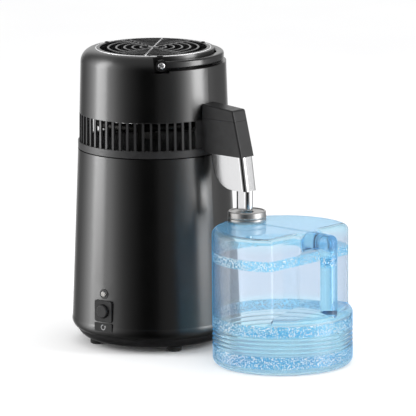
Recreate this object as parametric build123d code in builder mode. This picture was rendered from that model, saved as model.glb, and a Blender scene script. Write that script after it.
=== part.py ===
from build123d import *
import math
import os

# Countertop water distiller, millimetres. The origin is on the table under the boiler's axis,
# +Z is up, the spout and the jug lie along +X, and the controls face about -Y.

# Clearances
seat_gap = 0.3
slip_gap = 0.4
run_gap = 0.08

# Feet and base tray
foot_height = 6.0
foot_radius = 9.0
foot_inset = 8.0
foot_count = 4
foot_angle = -30.0
foot_screw_radius = 2.0
tray_sweep = 13.5
tray_wall = 3.0
tray_rim_height = 6.0
tray_rim_inset = 2.2

# Boiler shell: a slightly conical steel wall, rounded in at the foot
shell_wall = 1.2
shell_base_radius = 101.0
shell_top_radius = 92.3
shell_top_z = 238.0
shell_round_z = 32.0
shell_lip_inset = 5.5
shell_lip_z = 18.0
shell_round_bulge = 2.0
shell_flange = 5.0

# Boiling chamber and heater
chamber_gap = 9.3
chamber_wall = 1.0
chamber_floor_z = 69.0
chamber_round = 2.0
chamber_lip = 3.0
chamber_flange_inset = 4.0
heater_inset = 23.0
heater_thickness = 8.0
element_inset = 16.0
element_radius = 4.0
element_gap_angle = 40.0
terminal_length = 12.0
clamp_width = 14.0
clamp_thickness = 3.0
stud_radius = 3.0
nut_flats = 10.0
nut_height = 5.0
cutout_radius = 8.0
cutout_height = 7.0
cutout_ear = 26.0

# Controls on the shell, about the button's axis
control_angle = -86.0
button_z = 51.0
bezel_size = 26.5
bezel_proud = 1.04
bezel_edge = 0.5
bezel_corner = 3.0
collar_radius = 11.2
collar_wall = 1.2
collar_length = 15.0
button_radius = 8.2
button_proud = 3.2
button_travel = 2.0
button_flange = 2.6
button_lip = 3.0
switch_size = 23.0
switch_depth = 15.0
plunger_radius = 2.5
label_height = 10.5
label_proud = 0.8
label_drop = 19.8
lamp_rise = 21.0
lamp_radius = 3.2
lamp_ring = 1.4
lamp_length = 9.0

# Rear of the boiler and of the head
rear_angle = 94.0
inlet_z = 48.0
inlet_width = 27.0
inlet_height = 20.0
inlet_flange = 2.2
inlet_depth = 19.0
inlet_cavity_depth = 16.0
inlet_wall = 1.3
pin_width = 4.0
pin_thickness = 2.0
pin_length = 13.0
pin_spread = 7.0
pin_offset = 4.0
grommet_drop = 24.0
grommet_radius = 6.5
grommet_bore = 3.6
fan_inlet_rise = 24.0
fan_inlet_radius = 9.0
fan_pin_radius = 1.5

# Head: louvre ring below, pressed shell above
head_height = 77.7
head_wall = 1.5
band_inset = 0.1
band_height = 8.5
louvre_step = 1.6
louvre_wall = 3.6
louvre_collar = 8.0
slot_count = 58
slot_width = 7.0
slot_height = 34.0
slot_rail = 0.5
head_step = 0.5
head_taper = 1.9
shoulder_radius = 16.0
rim_land = 3.2
gasket_height = 2.2
gasket_width = 6.0
lid_thickness = 1.2

# Condenser coil: tube wound as a helix, outlet to the spout below, riser from the lid above
coil_inset = 21.0
tube_radius = 5.0
coil_pitch = 13.0
coil_fan_gap = 15.0
coil_outlet_rise = 22.7
coil_bend = 20.0
riser_bend = 16.0
outlet_reach = 24.0
fitting_wall = 4.0
fitting_height = 8.0
ferrule_length = 6.0
ferrule_gap = 1.0
stay_width = 8.0
stay_thickness = 2.0
stay_count = 3

# Fan
motor_radius = 26.0
motor_height = 18.0
strap_width = 14.0
strap_thickness = 2.0
strap_drop = 4.5
strap_angle = -57.0
shaft_radius = 2.0
hub_radius = 13.0
hub_height = 12.0
hub_gap = 2.5
blade_count = 5
blade_gap = 7.5
blade_root_chord = 24.0
blade_tip_chord = 42.0
blade_thickness = 1.8
blade_root_pitch = 34.0
blade_tip_pitch = 20.0
shroud_inset = 5.8
shroud_wall = 2.0
shroud_depth = 42.0
guard_height = 2.3
guard_ring_width = 2.6
guard_ring_pitch = 9.8
guard_hub_radius = 7.0
guard_rib_width = 2.6
guard_rib_spread = 36.0
guard_screw_count = 3
guard_screw_angle = -51.0
guard_screw_head = 2.4
guard_screw_shank = 1.2

# Carrying handle: a half-ring bail that folds into a rebate of the shoulder
pivot_angle = -41.0
pivot_drop = 9.0
bail_inset = 2.7
bail_width = 10.0
bail_height = 10.0
bail_round = 3.0
bail_eye_radius = 7.0
bail_gap = 2.0
pocket_half_width = 9.4
pivot_radius = 3.0
pivot_head_radius = 4.8
pivot_head_height = 2.2
bracket_radius = 6.0

# Spout: black cover with a lift-off top, bright filter cup and drip tube below it
spout_width = 24.0
spout_wall = 2.0
spout_root_rise = 62.9
spout_end_reach = 45.8
spout_end_rise = 59.0
spout_reach = 59.8
spout_rise = 3.7
spout_seam_rise = 45.7
spout_round = 3.0
cap_skirt = 5.0
cup_inset = 1.0
cup_wall = 1.4
cup_back_reach = 9.3
cup_heel_reach = 17.8
cup_end_reach = 65.8
cup_depth = 41.0
cup_round = 30.0
cup_collar = 8.0
drip_setback = 10.5
drip_radius = 8.8
drip_wall = 1.5
drip_length = 23.4
sachet_length = 17.0
sachet_height = 26.0
sachet_width = 15.0
sachet_offset = 5.0

# Jug: round base with ribs, D-shaped upper body, moulded handle, offset neck
jug_radius = 84.0
drip_gap = 1.0
jug_wall = 2.2
jug_base_round = 9.0
jug_shoulder = 8.2
jug_rib_count = 4
jug_rib_pitch = 5.3
jug_rib_depth = 1.0
jug_rib_z = 24.0
jug_flat_inset = 40.0
jug_flat_corner = 9.0
jug_ledge_z = 79.0
jug_ledge_edge_z = 67.0
jug_ledge_round = 6.0
grip_reach = 24.0
grip_inset = 1.0
grip_width = 19.0
grip_corner = 8.5
grip_gusset = 16.0
grip_arch_drop = 18.0
grip_arch_round = 10.0
ridge_width = 1.6
ridge_height = 0.8
neck_inset = 28.0
neck_shift = 2.5
neck_radius = 19.6
neck_wall = 2.6
neck_height = 9.3

# Jug cap: two rings with a groove between, a dished top and a drip hole
cap_radius = 23.5
cap_height = 13.0
cap_top = 3.0
cap_groove = 0.9
cap_groove_z = 5.2
cap_groove_height = 1.5
cap_dish_radius = 19.0
cap_dish_depth = 1.2
cap_hole_radius = 8.0
cap_edge = 0.8
cap_lift = 0.6
seal_thickness = 0.9


# Heights and radii that follow from the sizes above
shell_lip_radius = shell_base_radius - shell_lip_inset
tray_bottom_radius = shell_lip_radius - tray_sweep
foot_ring_radius = tray_bottom_radius - foot_inset
chamber_radius = min(shell_top_radius, shell_base_radius) - chamber_gap
heater_radius = chamber_radius - heater_inset
element_ring_radius = heater_radius - element_inset
cutout_offset = element_ring_radius / 2
band_radius = shell_top_radius - band_inset
louvre_radius = band_radius - louvre_step
louvre_inner_radius = louvre_radius - louvre_wall
head_low_radius = louvre_radius - head_step
head_top_radius = head_low_radius - head_taper
bail_outer_radius = head_top_radius - bail_inset
bail_inner_radius = bail_outer_radius - bail_width
rebate_radius = bail_inner_radius - bail_gap
rim_radius = rebate_radius - rim_land
shroud_radius = rim_radius - shroud_inset
blade_reach = shroud_radius - blade_gap
coil_radius = louvre_inner_radius - coil_inset
seat_z = shell_top_z + chamber_wall
head_z = seat_z + seat_gap
lid_z = head_z + gasket_height
lid_top_z = lid_z + lid_thickness
band_top_z = head_z + band_height
slot_top_z = band_top_z + slot_height
head_foot_z = slot_top_z + slot_rail
overall_height = head_foot_z + head_height
shoulder_z = overall_height - shoulder_radius
shoulder_x = head_top_radius - shoulder_radius
rim_z = overall_height - head_wall
chamber_lip_z = chamber_floor_z + chamber_lip
heater_z = chamber_floor_z - chamber_wall - heater_thickness
element_z = heater_z - element_radius
clamp_z = element_z - element_radius - clamp_thickness
grommet_z = shell_top_z - grommet_drop
pivot_z = overall_height - pivot_drop
bail_bottom_z = pivot_z - bail_height / 2
rebate_z = bail_bottom_z - bail_gap + seat_gap
pocket_z = pivot_z - bail_eye_radius - bail_gap
strap_z = rim_z - strap_drop - strap_thickness
motor_z = strap_z - motor_height
hub_z = motor_z - hub_gap - hub_height
coil_outlet_z = head_z + coil_outlet_rise
coil_quarters = math.floor(4 * (hub_z - coil_fan_gap - coil_outlet_z) / coil_pitch)
coil_top_z = coil_outlet_z + coil_pitch * coil_quarters / 4
spout_root_z = head_z + spout_root_rise
spout_end_x = band_radius + spout_end_reach
spout_end_z = head_z + spout_end_rise
spout_low_x = band_radius + spout_reach
spout_low_z = head_z + spout_rise
spout_seam_z = head_z + spout_seam_rise
cup_top_back_x = band_radius + cup_back_reach
cup_low_back_x = band_radius + cup_heel_reach
cup_low_end_x = band_radius + cup_end_reach
cup_low_z = spout_low_z - cup_depth
drip_x = cup_low_end_x - drip_setback
drip_low_z = cup_low_z - drip_length
cap_z = drip_low_z - drip_gap - cap_height
jug_height = cap_z - cap_lift
jug_flat_x = jug_radius - jug_flat_inset
grip_inner_x = jug_flat_x + grip_reach
grip_outer_x = jug_radius - grip_inset
grip_arch_z = jug_height - grip_arch_drop
neck_x = drip_x + neck_shift
jug_x = neck_x + jug_radius - neck_inset


def shell_radius(z):
    """Outer radius of the conical boiler wall at a height."""
    share = (z - shell_round_z) / (shell_top_z - shell_round_z)
    return shell_base_radius + share * (shell_top_radius - shell_base_radius)


def head_radius(z):
    """Outer radius of the pressed head shell at a height below its shoulder."""
    share = (z - head_foot_z) / (shoulder_z - head_foot_z)
    return head_low_radius + share * (head_top_radius - head_low_radius)


def polar(radius, angle, z=0.0):
    """Point at a radius and an angle in degrees about the boiler's axis."""
    turn = math.radians(angle)
    return Vector(radius * math.cos(turn), radius * math.sin(turn), z)


def wall_plane(angle, z, radius):
    """Upright plane that faces outwards at a radius and an angle, with +Y up."""
    outward = polar(1.0, angle)
    return Plane(origin=polar(radius, angle, z), x_dir=polar(1.0, angle + 90), z_dir=outward)


def biarc(start, start_direction, end, end_direction):
    """Two arcs that leave one point along its direction and reach the next along its own."""
    across = end - start
    both = start_direction + end_direction
    spread = 2 * (1 - start_direction.dot(end_direction))
    along = across.dot(both)
    reach = (math.sqrt(along * along + spread * across.dot(across)) - along) / spread
    first_corner = start + start_direction * reach
    last_corner = end - end_direction * reach
    joint = (first_corner + last_corner) * 0.5
    TangentArc(start, joint, tangent=start_direction)
    TangentArc(joint, end, tangent=last_corner - first_corner)


def write(builder, name):
    """Label a finished piece and write it as one file."""
    builder.part.label = name
    export_step(builder.part, f"parts/{name}.step")


os.makedirs("parts", exist_ok=True)
foot_turns = [foot_angle + 360 * k / foot_count for k in range(foot_count)]
foot_places = [Location(polar(foot_ring_radius, turn)) for turn in foot_turns]

# Solid form of the boiler's outside, used to seat what lies on the wall
with BuildPart() as shell_form:
    with BuildSketch(Plane.XZ):
        with BuildLine():
            Line((0, shell_lip_z), (shell_lip_radius, shell_lip_z))
            mid_x = (shell_lip_radius + shell_base_radius) / 2 + shell_round_bulge
            mid_z = (shell_lip_z + shell_round_z) / 2 - shell_round_bulge
            ThreePointArc((shell_lip_radius, shell_lip_z), (mid_x, mid_z), (shell_base_radius, shell_round_z))
            Line((shell_base_radius, shell_round_z), (shell_top_radius, shell_top_z))
            Line((shell_top_radius, shell_top_z), (0, shell_top_z))
            Line((0, shell_top_z), (0, shell_lip_z))
        make_face()
    revolve(axis=Axis.Z)

# Boiler shell: thin wall with an inward flange on top, cut for the controls and the rear fittings
with BuildPart() as boiler_shell:
    add(shell_form.part)
    with BuildSketch(Plane.XZ):
        with BuildLine():
            low_x = shell_lip_radius - shell_wall
            base_x = shell_base_radius - shell_wall
            top_x = shell_top_radius - shell_wall
            Line((0, shell_lip_z), (low_x, shell_lip_z))
            ThreePointArc((low_x, shell_lip_z), (mid_x - shell_wall, mid_z), (base_x, shell_round_z))
            Line((base_x, shell_round_z), (top_x, shell_top_z - shell_wall))
            Line((top_x, shell_top_z - shell_wall), (0, shell_top_z - shell_wall))
            Line((0, shell_top_z - shell_wall), (0, shell_lip_z))
        make_face()
    revolve(axis=Axis.Z, mode=Mode.SUBTRACT)
    with BuildSketch(Plane.XY.offset(shell_top_z)):
        Circle(shell_top_radius - shell_wall - shell_flange)
    extrude(amount=-2 * shell_wall, mode=Mode.SUBTRACT)
    with BuildSketch(wall_plane(control_angle, button_z, chamber_radius)):
        Circle(collar_radius + slip_gap / 2)
        with Locations((0, lamp_rise)):
            Circle(lamp_radius + lamp_ring + slip_gap / 2)
    extrude(amount=shell_base_radius, mode=Mode.SUBTRACT)
    with BuildSketch(wall_plane(rear_angle, inlet_z, chamber_radius)):
        Rectangle(inlet_width + slip_gap, inlet_height + slip_gap)
        with Locations((0, grommet_z - inlet_z)):
            Circle(grommet_radius - slip_gap)
    extrude(amount=shell_base_radius, mode=Mode.SUBTRACT)
write(boiler_shell, "boiler_shell")

# Base tray: moulded dish under the shell with bosses for the foot screws
with BuildPart() as base_tray:
    with BuildSketch(Plane.XZ):
        with BuildLine():
            rim_x = shell_lip_radius - tray_rim_inset
            inner_x = rim_x - tray_wall
            floor_z = foot_height + tray_wall
            sweep_x = (tray_bottom_radius + shell_lip_radius) / 2 + tray_wall / 2
            sweep_z = (foot_height + shell_lip_z) / 2 - tray_wall / 2
            Line((0, foot_height), (tray_bottom_radius, foot_height))
            lip_corner = (shell_lip_radius, shell_lip_z)
            ThreePointArc((tray_bottom_radius, foot_height), (sweep_x, sweep_z), lip_corner)
            Line((shell_lip_radius, shell_lip_z), (rim_x, shell_lip_z))
            Line((rim_x, shell_lip_z), (rim_x, shell_lip_z + tray_rim_height))
            Line((rim_x, shell_lip_z + tray_rim_height), (inner_x, shell_lip_z + tray_rim_height))
            Line((inner_x, shell_lip_z + tray_rim_height), (inner_x, shell_lip_z))
            Line((inner_x, shell_lip_z), (tray_bottom_radius - tray_wall, floor_z))
            Line((tray_bottom_radius - tray_wall, floor_z), (0, floor_z))
            Line((0, floor_z), (0, foot_height))
        make_face()
    revolve(axis=Axis.Z)
    with BuildSketch(Plane.XY.offset(foot_height)):
        with Locations(*foot_places):
            Circle(3 * foot_screw_radius)
    extrude(amount=shell_lip_z - foot_height)
    with BuildSketch(Plane.XY):
        with Locations(*foot_places):
            Circle(foot_screw_radius)
    extrude(amount=shell_lip_z, mode=Mode.SUBTRACT)
write(base_tray, "base_tray")

# Rubber feet, each with a recess for its screw head
with BuildPart() as rubber_feet:
    with BuildSketch(Plane.XY):
        with Locations(*foot_places):
            Circle(foot_radius)
    extrude(amount=foot_height)
    chamfer(rubber_feet.edges().group_by(Axis.Z)[0], length=foot_height / 6)
    with BuildSketch(Plane.XY):
        with Locations(*foot_places):
            Circle(2.5 * foot_screw_radius)
    extrude(amount=foot_height / 2, mode=Mode.SUBTRACT)
    with BuildSketch(Plane.XY):
        with Locations(*foot_places):
            Circle(foot_screw_radius)
    extrude(amount=foot_height, mode=Mode.SUBTRACT)
write(rubber_feet, "rubber_feet")

# Foot screws: pan heads in the feet, shanks in the tray's bosses
with BuildPart() as foot_screws:
    with BuildSketch(Plane.XY.offset(foot_height / 4)):
        with Locations(*foot_places):
            Circle(2 * foot_screw_radius)
    extrude(amount=foot_height / 4)
    with BuildSketch(Plane.XY.offset(foot_height / 2)):
        with Locations(*foot_places):
            Circle(foot_screw_radius)
    extrude(amount=shell_lip_z - foot_height)
write(foot_screws, "foot_screws")

# Boiling chamber: straight wall, with a dished floor welded under it and a flat rim that hangs on the shell
with BuildPart() as boiling_chamber:
    with BuildSketch(Plane.XY.offset(chamber_lip_z)):
        Circle(chamber_radius + chamber_wall)
        Circle(chamber_radius, mode=Mode.SUBTRACT)
    extrude(amount=shell_top_z - chamber_lip_z)
write(boiling_chamber, "boiling_chamber")

with BuildPart() as chamber_rim:
    with BuildSketch(Plane.XY.offset(shell_top_z)):
        Circle(shell_top_radius - chamber_flange_inset)
        Circle(chamber_radius, mode=Mode.SUBTRACT)
    extrude(amount=chamber_wall)
write(chamber_rim, "chamber_rim")

with BuildPart() as floor_hollow:
    with BuildSketch(Plane.XY.offset(chamber_floor_z)):
        Circle(chamber_radius)
    extrude(amount=chamber_lip)
    fillet(floor_hollow.edges().group_by(Axis.Z)[0], radius=chamber_round)

with BuildPart() as chamber_floor:
    with BuildSketch(Plane.XY.offset(chamber_floor_z - chamber_wall)):
        Circle(chamber_radius + chamber_wall)
    extrude(amount=chamber_wall + chamber_lip)
    fillet(chamber_floor.edges().group_by(Axis.Z)[0], radius=chamber_round + chamber_wall)
    add(floor_hollow.part, mode=Mode.SUBTRACT)
write(chamber_floor, "chamber_floor")

# Heater plate with its clamp stud, cast against the chamber floor
with BuildPart() as heater_plate:
    with BuildSketch(Plane.XY.offset(heater_z)):
        Circle(heater_radius)
    extrude(amount=heater_thickness)
    chamfer(heater_plate.edges().group_by(Axis.Z)[0], length=heater_thickness / 4)
    with BuildSketch(Plane.XY.offset(clamp_z - nut_height - clamp_thickness)):
        Circle(stud_radius)
    extrude(amount=heater_z - clamp_z + nut_height + clamp_thickness)
write(heater_plate, "heater_plate")

# Heating element: open ring of sheathed tube with two terminals turned down
with BuildPart() as heating_element:
    with BuildSketch(Plane.XZ.rotated((0, 0, element_gap_angle / 2))):
        with Locations((element_ring_radius, element_z)):
            Circle(element_radius)
    revolve(axis=Axis.Z, revolution_arc=360 - element_gap_angle)
    for side in (-1, 1):
        with Locations(polar(element_ring_radius, side * element_gap_angle / 2, element_z)):
            Sphere(element_radius)
            Cylinder(element_radius / 2, terminal_length, align=(Align.CENTER, Align.CENTER, Align.MAX))
write(heating_element, "heating_element")

# Clamp bar that presses the element to the plate
with BuildPart() as heater_clamp:
    with BuildSketch(Plane.XY.offset(clamp_z)):
        SlotOverall(2 * (element_ring_radius + 2 * element_radius), clamp_width, rotation=90)
        Circle(stud_radius + slip_gap / 2, mode=Mode.SUBTRACT)
    extrude(amount=clamp_thickness)
write(heater_clamp, "heater_clamp")

with BuildPart() as clamp_nut:
    with BuildSketch(Plane.XY.offset(clamp_z - nut_height)):
        RegularPolygon(nut_flats / 2, 6, major_radius=False)
        Circle(stud_radius, mode=Mode.SUBTRACT)
    extrude(amount=nut_height)
write(clamp_nut, "clamp_nut")

# Boil-dry cut-out: disc thermostat with two ears, under the heater plate
with BuildPart() as boil_dry_cutout:
    cutout_plane = Plane((-cutout_offset, 0, heater_z))
    with BuildSketch(cutout_plane):
        SlotOverall(cutout_ear, cutout_radius, rotation=90)
    extrude(amount=-chamber_wall)
    with BuildSketch(cutout_plane):
        Circle(cutout_radius)
    extrude(amount=-cutout_height)
    with BuildSketch(cutout_plane.offset(-cutout_height)):
        with GridLocations(cutout_radius, 0, 2, 1):
            Rectangle(cutout_radius / 10, cutout_radius / 2)
    extrude(amount=-cutout_height)
write(boil_dry_cutout, "boil_dry_cutout")

# Reset bezel: square frame on the wall with a collar that carries the switch
button_wall = max(shell_radius(button_z - bezel_size / 2), shell_radius(button_z + bezel_size / 2))
bezel_front = button_wall + bezel_proud
lip_back = bezel_front - button_lip
collar_back = bezel_front - collar_length
control_axis = Axis((0, 0, 0), polar(1, control_angle))
with BuildPart() as reset_bezel:
    with BuildSketch(wall_plane(control_angle, button_z, bezel_front)):
        RectangleRounded(bezel_size, bezel_size, bezel_corner)
    extrude(amount=-2 * bezel_corner)
    add(shell_form.part, mode=Mode.SUBTRACT)
    bezel_face = reset_bezel.faces().filter_by(control_axis).sort_by(control_axis)[-1]
    chamfer(bezel_face.edges(), length=bezel_edge)
    with BuildSketch(wall_plane(control_angle, button_z, collar_back)):
        Circle(collar_radius)
    extrude(amount=collar_length - bezel_edge)
    with BuildSketch(wall_plane(control_angle, button_z, bezel_front)):
        Circle(button_radius + slip_gap)
    extrude(amount=-collar_length, mode=Mode.SUBTRACT)
    with BuildSketch(wall_plane(control_angle, button_z, lip_back)):
        Circle(collar_radius - collar_wall)
    extrude(amount=-collar_length, mode=Mode.SUBTRACT)
write(reset_bezel, "reset_bezel")

# Reset button: domed stem held behind the bezel's lip by its flange
flange_front = lip_back - seat_gap
plunger_back = collar_back + button_travel + seat_gap
with BuildPart() as reset_button:
    with BuildSketch(wall_plane(control_angle, button_z, flange_front)):
        Circle(button_radius)
    extrude(amount=bezel_front + button_proud - flange_front)
    fillet(reset_button.edges().sort_by(control_axis)[-1], radius=button_proud / 2)
    with BuildSketch(wall_plane(control_angle, button_z, flange_front)):
        Circle(collar_radius - collar_wall - slip_gap)
    extrude(amount=-button_flange)
    with BuildSketch(wall_plane(control_angle, button_z, flange_front - button_flange)):
        Circle(plunger_radius)
    extrude(amount=plunger_back - flange_front + button_flange)
write(reset_button, "reset_button")

# Reset switch: closed case behind the collar, with two blade terminals
with BuildPart() as reset_switch:
    with BuildSketch(wall_plane(control_angle, button_z, collar_back)):
        RectangleRounded(switch_size, switch_size, bezel_corner)
    extrude(amount=-switch_depth)
    with BuildSketch(wall_plane(control_angle, button_z, collar_back - switch_depth)):
        with GridLocations(switch_size / 2, 0, 2, 1):
            Rectangle(blade_thickness / 2, switch_size / 4)
    extrude(amount=-switch_size / 3)
write(reset_switch, "reset_switch")

# Bare label plate under the bezel, curved with the wall
label_z = button_z - label_drop
with BuildPart() as label_plate:
    with BuildSketch(wall_plane(control_angle, label_z, shell_base_radius + label_proud)):
        RectangleRounded(bezel_size, label_height, bezel_corner / 2)
    extrude(amount=-2 * bezel_corner)
    add(shell_form.part, mode=Mode.SUBTRACT)
write(label_plate, "label_plate")

# Pilot lamp: holder through the wall and a domed lens in it
lamp_z = button_z + lamp_rise
lamp_wall = shell_radius(lamp_z)
with BuildPart() as lamp_holder:
    with BuildSketch(wall_plane(control_angle, lamp_z, lamp_wall + lamp_ring / 2)):
        Circle(lamp_radius + 2 * lamp_ring)
    extrude(amount=-lamp_ring - label_proud)
    add(shell_form.part, mode=Mode.SUBTRACT)
    with BuildSketch(wall_plane(control_angle, lamp_z, lamp_wall - lamp_length)):
        Circle(lamp_radius + lamp_ring)
    extrude(amount=lamp_length)
    with BuildSketch(wall_plane(control_angle, lamp_z, lamp_wall + lamp_length)):
        Circle(lamp_radius)
    extrude(amount=-lamp_length - lamp_length + lamp_ring, mode=Mode.SUBTRACT)
write(lamp_holder, "lamp_holder")

with BuildPart() as pilot_lamp:
    with BuildSketch(wall_plane(control_angle, lamp_z, lamp_wall - lamp_length + lamp_ring)):
        Circle(lamp_radius)
    extrude(amount=lamp_length + lamp_ring)
    fillet(pilot_lamp.edges().sort_by(control_axis)[-1], radius=lamp_ring)
write(pilot_lamp, "pilot_lamp")

# Mains inlet: flanged socket with a chamfered cavity, and its three blades
inlet_wall_radius = shell_radius(inlet_z)
inlet_front = inlet_wall_radius + inlet_flange
inlet_floor = inlet_front - inlet_cavity_depth
with BuildPart() as mains_inlet:
    with BuildSketch(wall_plane(rear_angle, inlet_z, inlet_front)):
        RectangleRounded(inlet_width + 2 * inlet_flange, inlet_height + 2 * inlet_flange, bezel_corner)
    extrude(amount=-2 * bezel_corner)
    add(shell_form.part, mode=Mode.SUBTRACT)
    with BuildSketch(wall_plane(rear_angle, inlet_z, inlet_front - inlet_depth)):
        Rectangle(inlet_width, inlet_height)
    extrude(amount=inlet_depth)
    with BuildSketch(wall_plane(rear_angle, inlet_z, inlet_front)) as inlet_mouth:
        Rectangle(inlet_width - 2 * inlet_wall, inlet_height - 2 * inlet_wall)
        chamfer(inlet_mouth.vertices().group_by(Axis.Y)[-1], length=pin_offset)
    extrude(amount=-inlet_cavity_depth, mode=Mode.SUBTRACT)
write(mains_inlet, "mains_inlet")

with BuildPart() as inlet_pins:
    with BuildSketch(wall_plane(rear_angle, inlet_z, inlet_floor)):
        with Locations((-pin_spread, -pin_offset), (pin_spread, -pin_offset), (0, pin_offset)):
            Rectangle(pin_thickness, pin_width)
    extrude(amount=pin_length)
write(inlet_pins, "inlet_pins")

# Grommet for the fan lead, high on the rear of the shell
with BuildPart() as lead_grommet:
    with BuildSketch(wall_plane(rear_angle, grommet_z, shell_radius(grommet_z) + inlet_flange)):
        Circle(grommet_radius + inlet_flange)
    extrude(amount=-bezel_corner)
    add(shell_form.part, mode=Mode.SUBTRACT)
    with BuildSketch(wall_plane(rear_angle, grommet_z, chamber_radius + 2 * chamber_wall)):
        Circle(grommet_radius - slip_gap)
    extrude(amount=shell_radius(grommet_z) + inlet_flange - chamber_radius - 2 * chamber_wall)
    with BuildSketch(wall_plane(rear_angle, grommet_z, chamber_radius)):
        Circle(grommet_bore)
    extrude(amount=shell_radius(grommet_z) - chamber_radius + 2 * inlet_flange, mode=Mode.SUBTRACT)
write(lead_grommet, "lead_grommet")

# Solid form of the head's outside, used to seat the spout and the fan inlet
with BuildPart() as head_form:
    with BuildSketch(Plane.XZ):
        with BuildLine():
            Polyline((0, head_z), (band_radius, head_z), (band_radius, band_top_z))
            Line((band_radius, band_top_z), (louvre_radius, band_top_z))
            Line((louvre_radius, band_top_z), (head_low_radius, head_foot_z))
            Line((head_low_radius, head_foot_z), (head_top_radius, shoulder_z))
            RadiusArc((head_top_radius, shoulder_z), (shoulder_x, overall_height), -shoulder_radius)
            Polyline((shoulder_x, overall_height), (0, overall_height), (0, head_z))
        make_face()
    revolve(axis=Axis.Z)

# Head shell: pressed cap with a rounded shoulder, a fan opening and a rebate for the folded handle
handle_plane = Plane(origin=(0, 0, rebate_z), x_dir=polar(1, pivot_angle), z_dir=(0, 0, 1))
with BuildPart() as head_core:
    with BuildSketch(Plane.XZ):
        with BuildLine():
            Line((0, head_foot_z), (head_low_radius - head_wall, head_foot_z))
            Line((head_low_radius - head_wall, head_foot_z), (head_top_radius - head_wall, shoulder_z))
            core_corner = (head_top_radius - head_wall, shoulder_z)
            RadiusArc(core_corner, (shoulder_x, rim_z), head_wall - shoulder_radius)
            Polyline((shoulder_x, rim_z), (0, rim_z), (0, head_foot_z))
        make_face()
    revolve(axis=Axis.Z)
    with BuildSketch(handle_plane.offset(-head_wall)):
        Rectangle(3 * head_low_radius, 2 * head_low_radius, align=(Align.CENTER, Align.MIN))
        Circle(rebate_radius - head_wall, mode=Mode.SUBTRACT)
    extrude(amount=overall_height - rebate_z, mode=Mode.SUBTRACT)
    with BuildSketch(handle_plane.offset(pocket_z - rebate_z - head_wall)):
        for side in (-1, 1):
            with Locations((side * (rebate_radius - head_wall + head_low_radius), 0)):
                Rectangle(2 * head_low_radius, 2 * (pocket_half_width + head_wall))
    extrude(amount=overall_height - pocket_z + head_wall, mode=Mode.SUBTRACT)

with BuildPart() as head_shell:
    add(head_form.part)
    with BuildSketch(Plane.XY.offset(head_z)):
        Circle(2 * head_low_radius)
    extrude(amount=head_foot_z - head_z, mode=Mode.SUBTRACT)
    with BuildSketch(handle_plane):
        Rectangle(3 * head_low_radius, 2 * head_low_radius, align=(Align.CENTER, Align.MIN))
        Circle(rebate_radius, mode=Mode.SUBTRACT)
    extrude(amount=overall_height - rebate_z, mode=Mode.SUBTRACT)
    with BuildSketch(handle_plane.offset(pocket_z - rebate_z)):
        for side in (-1, 1):
            with Locations((side * (rebate_radius + head_low_radius), 0)):
                Rectangle(2 * head_low_radius, 2 * pocket_half_width)
    extrude(amount=overall_height - pocket_z, mode=Mode.SUBTRACT)
    add(head_core.part, mode=Mode.SUBTRACT)
    with BuildSketch(Plane.XY.offset(overall_height)):
        Circle(rim_radius)
    extrude(amount=-2 * head_wall, mode=Mode.SUBTRACT)
    with BuildSketch(wall_plane(rear_angle, head_foot_z + fan_inlet_rise, rebate_radius)):
        Circle(fan_inlet_radius - slip_gap)
    extrude(amount=head_low_radius, mode=Mode.SUBTRACT)
write(head_shell, "head_shell")

# Louvre ring: band, upright slots all round except behind the spout, and a collar inside the shell
slot_step = 360 / slot_count
slot_keep_out = math.degrees(math.asin((spout_width + 2 * slot_width) / 2 / louvre_radius))
slot_angles = [(k + 0.5) * slot_step for k in range(slot_count)]
slot_angles = [a for a in slot_angles if slot_keep_out < a < 360 - slot_keep_out]
slot_mid_z = (band_top_z + slot_top_z) / 2
slot_mid_radius = (louvre_radius + louvre_inner_radius) / 2
slot_places = [Location(polar(slot_mid_radius, a, slot_mid_z), (0, 0, a)) for a in slot_angles]
collar_x = head_low_radius - head_wall
with BuildPart() as louvre_ring:
    with BuildSketch(Plane.XZ):
        with BuildLine():
            Polyline(
                (band_radius - head_wall, head_z),
                (band_radius, head_z),
                (band_radius, band_top_z),
                (louvre_radius, band_top_z),
                (head_low_radius, head_foot_z),
                (collar_x - run_gap, head_foot_z),
                (collar_x - run_gap - louvre_collar / 20, head_foot_z + louvre_collar),
                (louvre_inner_radius, head_foot_z + louvre_collar),
                (louvre_inner_radius, lid_top_z + head_wall),
                (louvre_inner_radius - 2 * head_wall, lid_top_z + head_wall),
                (louvre_inner_radius - 2 * head_wall, lid_top_z),
                (band_radius - head_wall, lid_top_z),
                close=True,
            )
        make_face()
    revolve(axis=Axis.Z)
    with Locations(*slot_places):
        Box(4 * (louvre_radius - louvre_inner_radius), slot_width, slot_height, mode=Mode.SUBTRACT)
    with BuildSketch(Plane.YZ.offset(chamber_radius)):
        with Locations((0, coil_outlet_z)):
            Circle(tube_radius + slip_gap)
    extrude(amount=band_radius - chamber_radius, mode=Mode.SUBTRACT)
write(louvre_ring, "louvre_ring")

# Lid of the boiling chamber with its gasket
riser_radial = coil_radius - coil_bend - riser_bend
riser_angle = math.degrees(math.asin(coil_bend / (coil_radius + coil_bend))) + 90.0 * coil_quarters
riser_foot = polar(riser_radial, riser_angle) + polar(coil_bend, riser_angle + 90)
with BuildPart() as lid_plate:
    with BuildSketch(Plane.XY.offset(lid_z)):
        Circle(band_radius - head_wall - seat_gap)
        with Locations((riser_foot.X, riser_foot.Y)):
            Circle(tube_radius, mode=Mode.SUBTRACT)
    extrude(amount=lid_thickness)
write(lid_plate, "lid_plate")

with BuildPart() as lid_gasket:
    with BuildSketch(Plane.XY.offset(head_z)):
        Circle(chamber_radius + gasket_width)
        Circle(chamber_radius, mode=Mode.SUBTRACT)
    extrude(amount=gasket_height)
write(lid_gasket, "lid_gasket")

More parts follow.
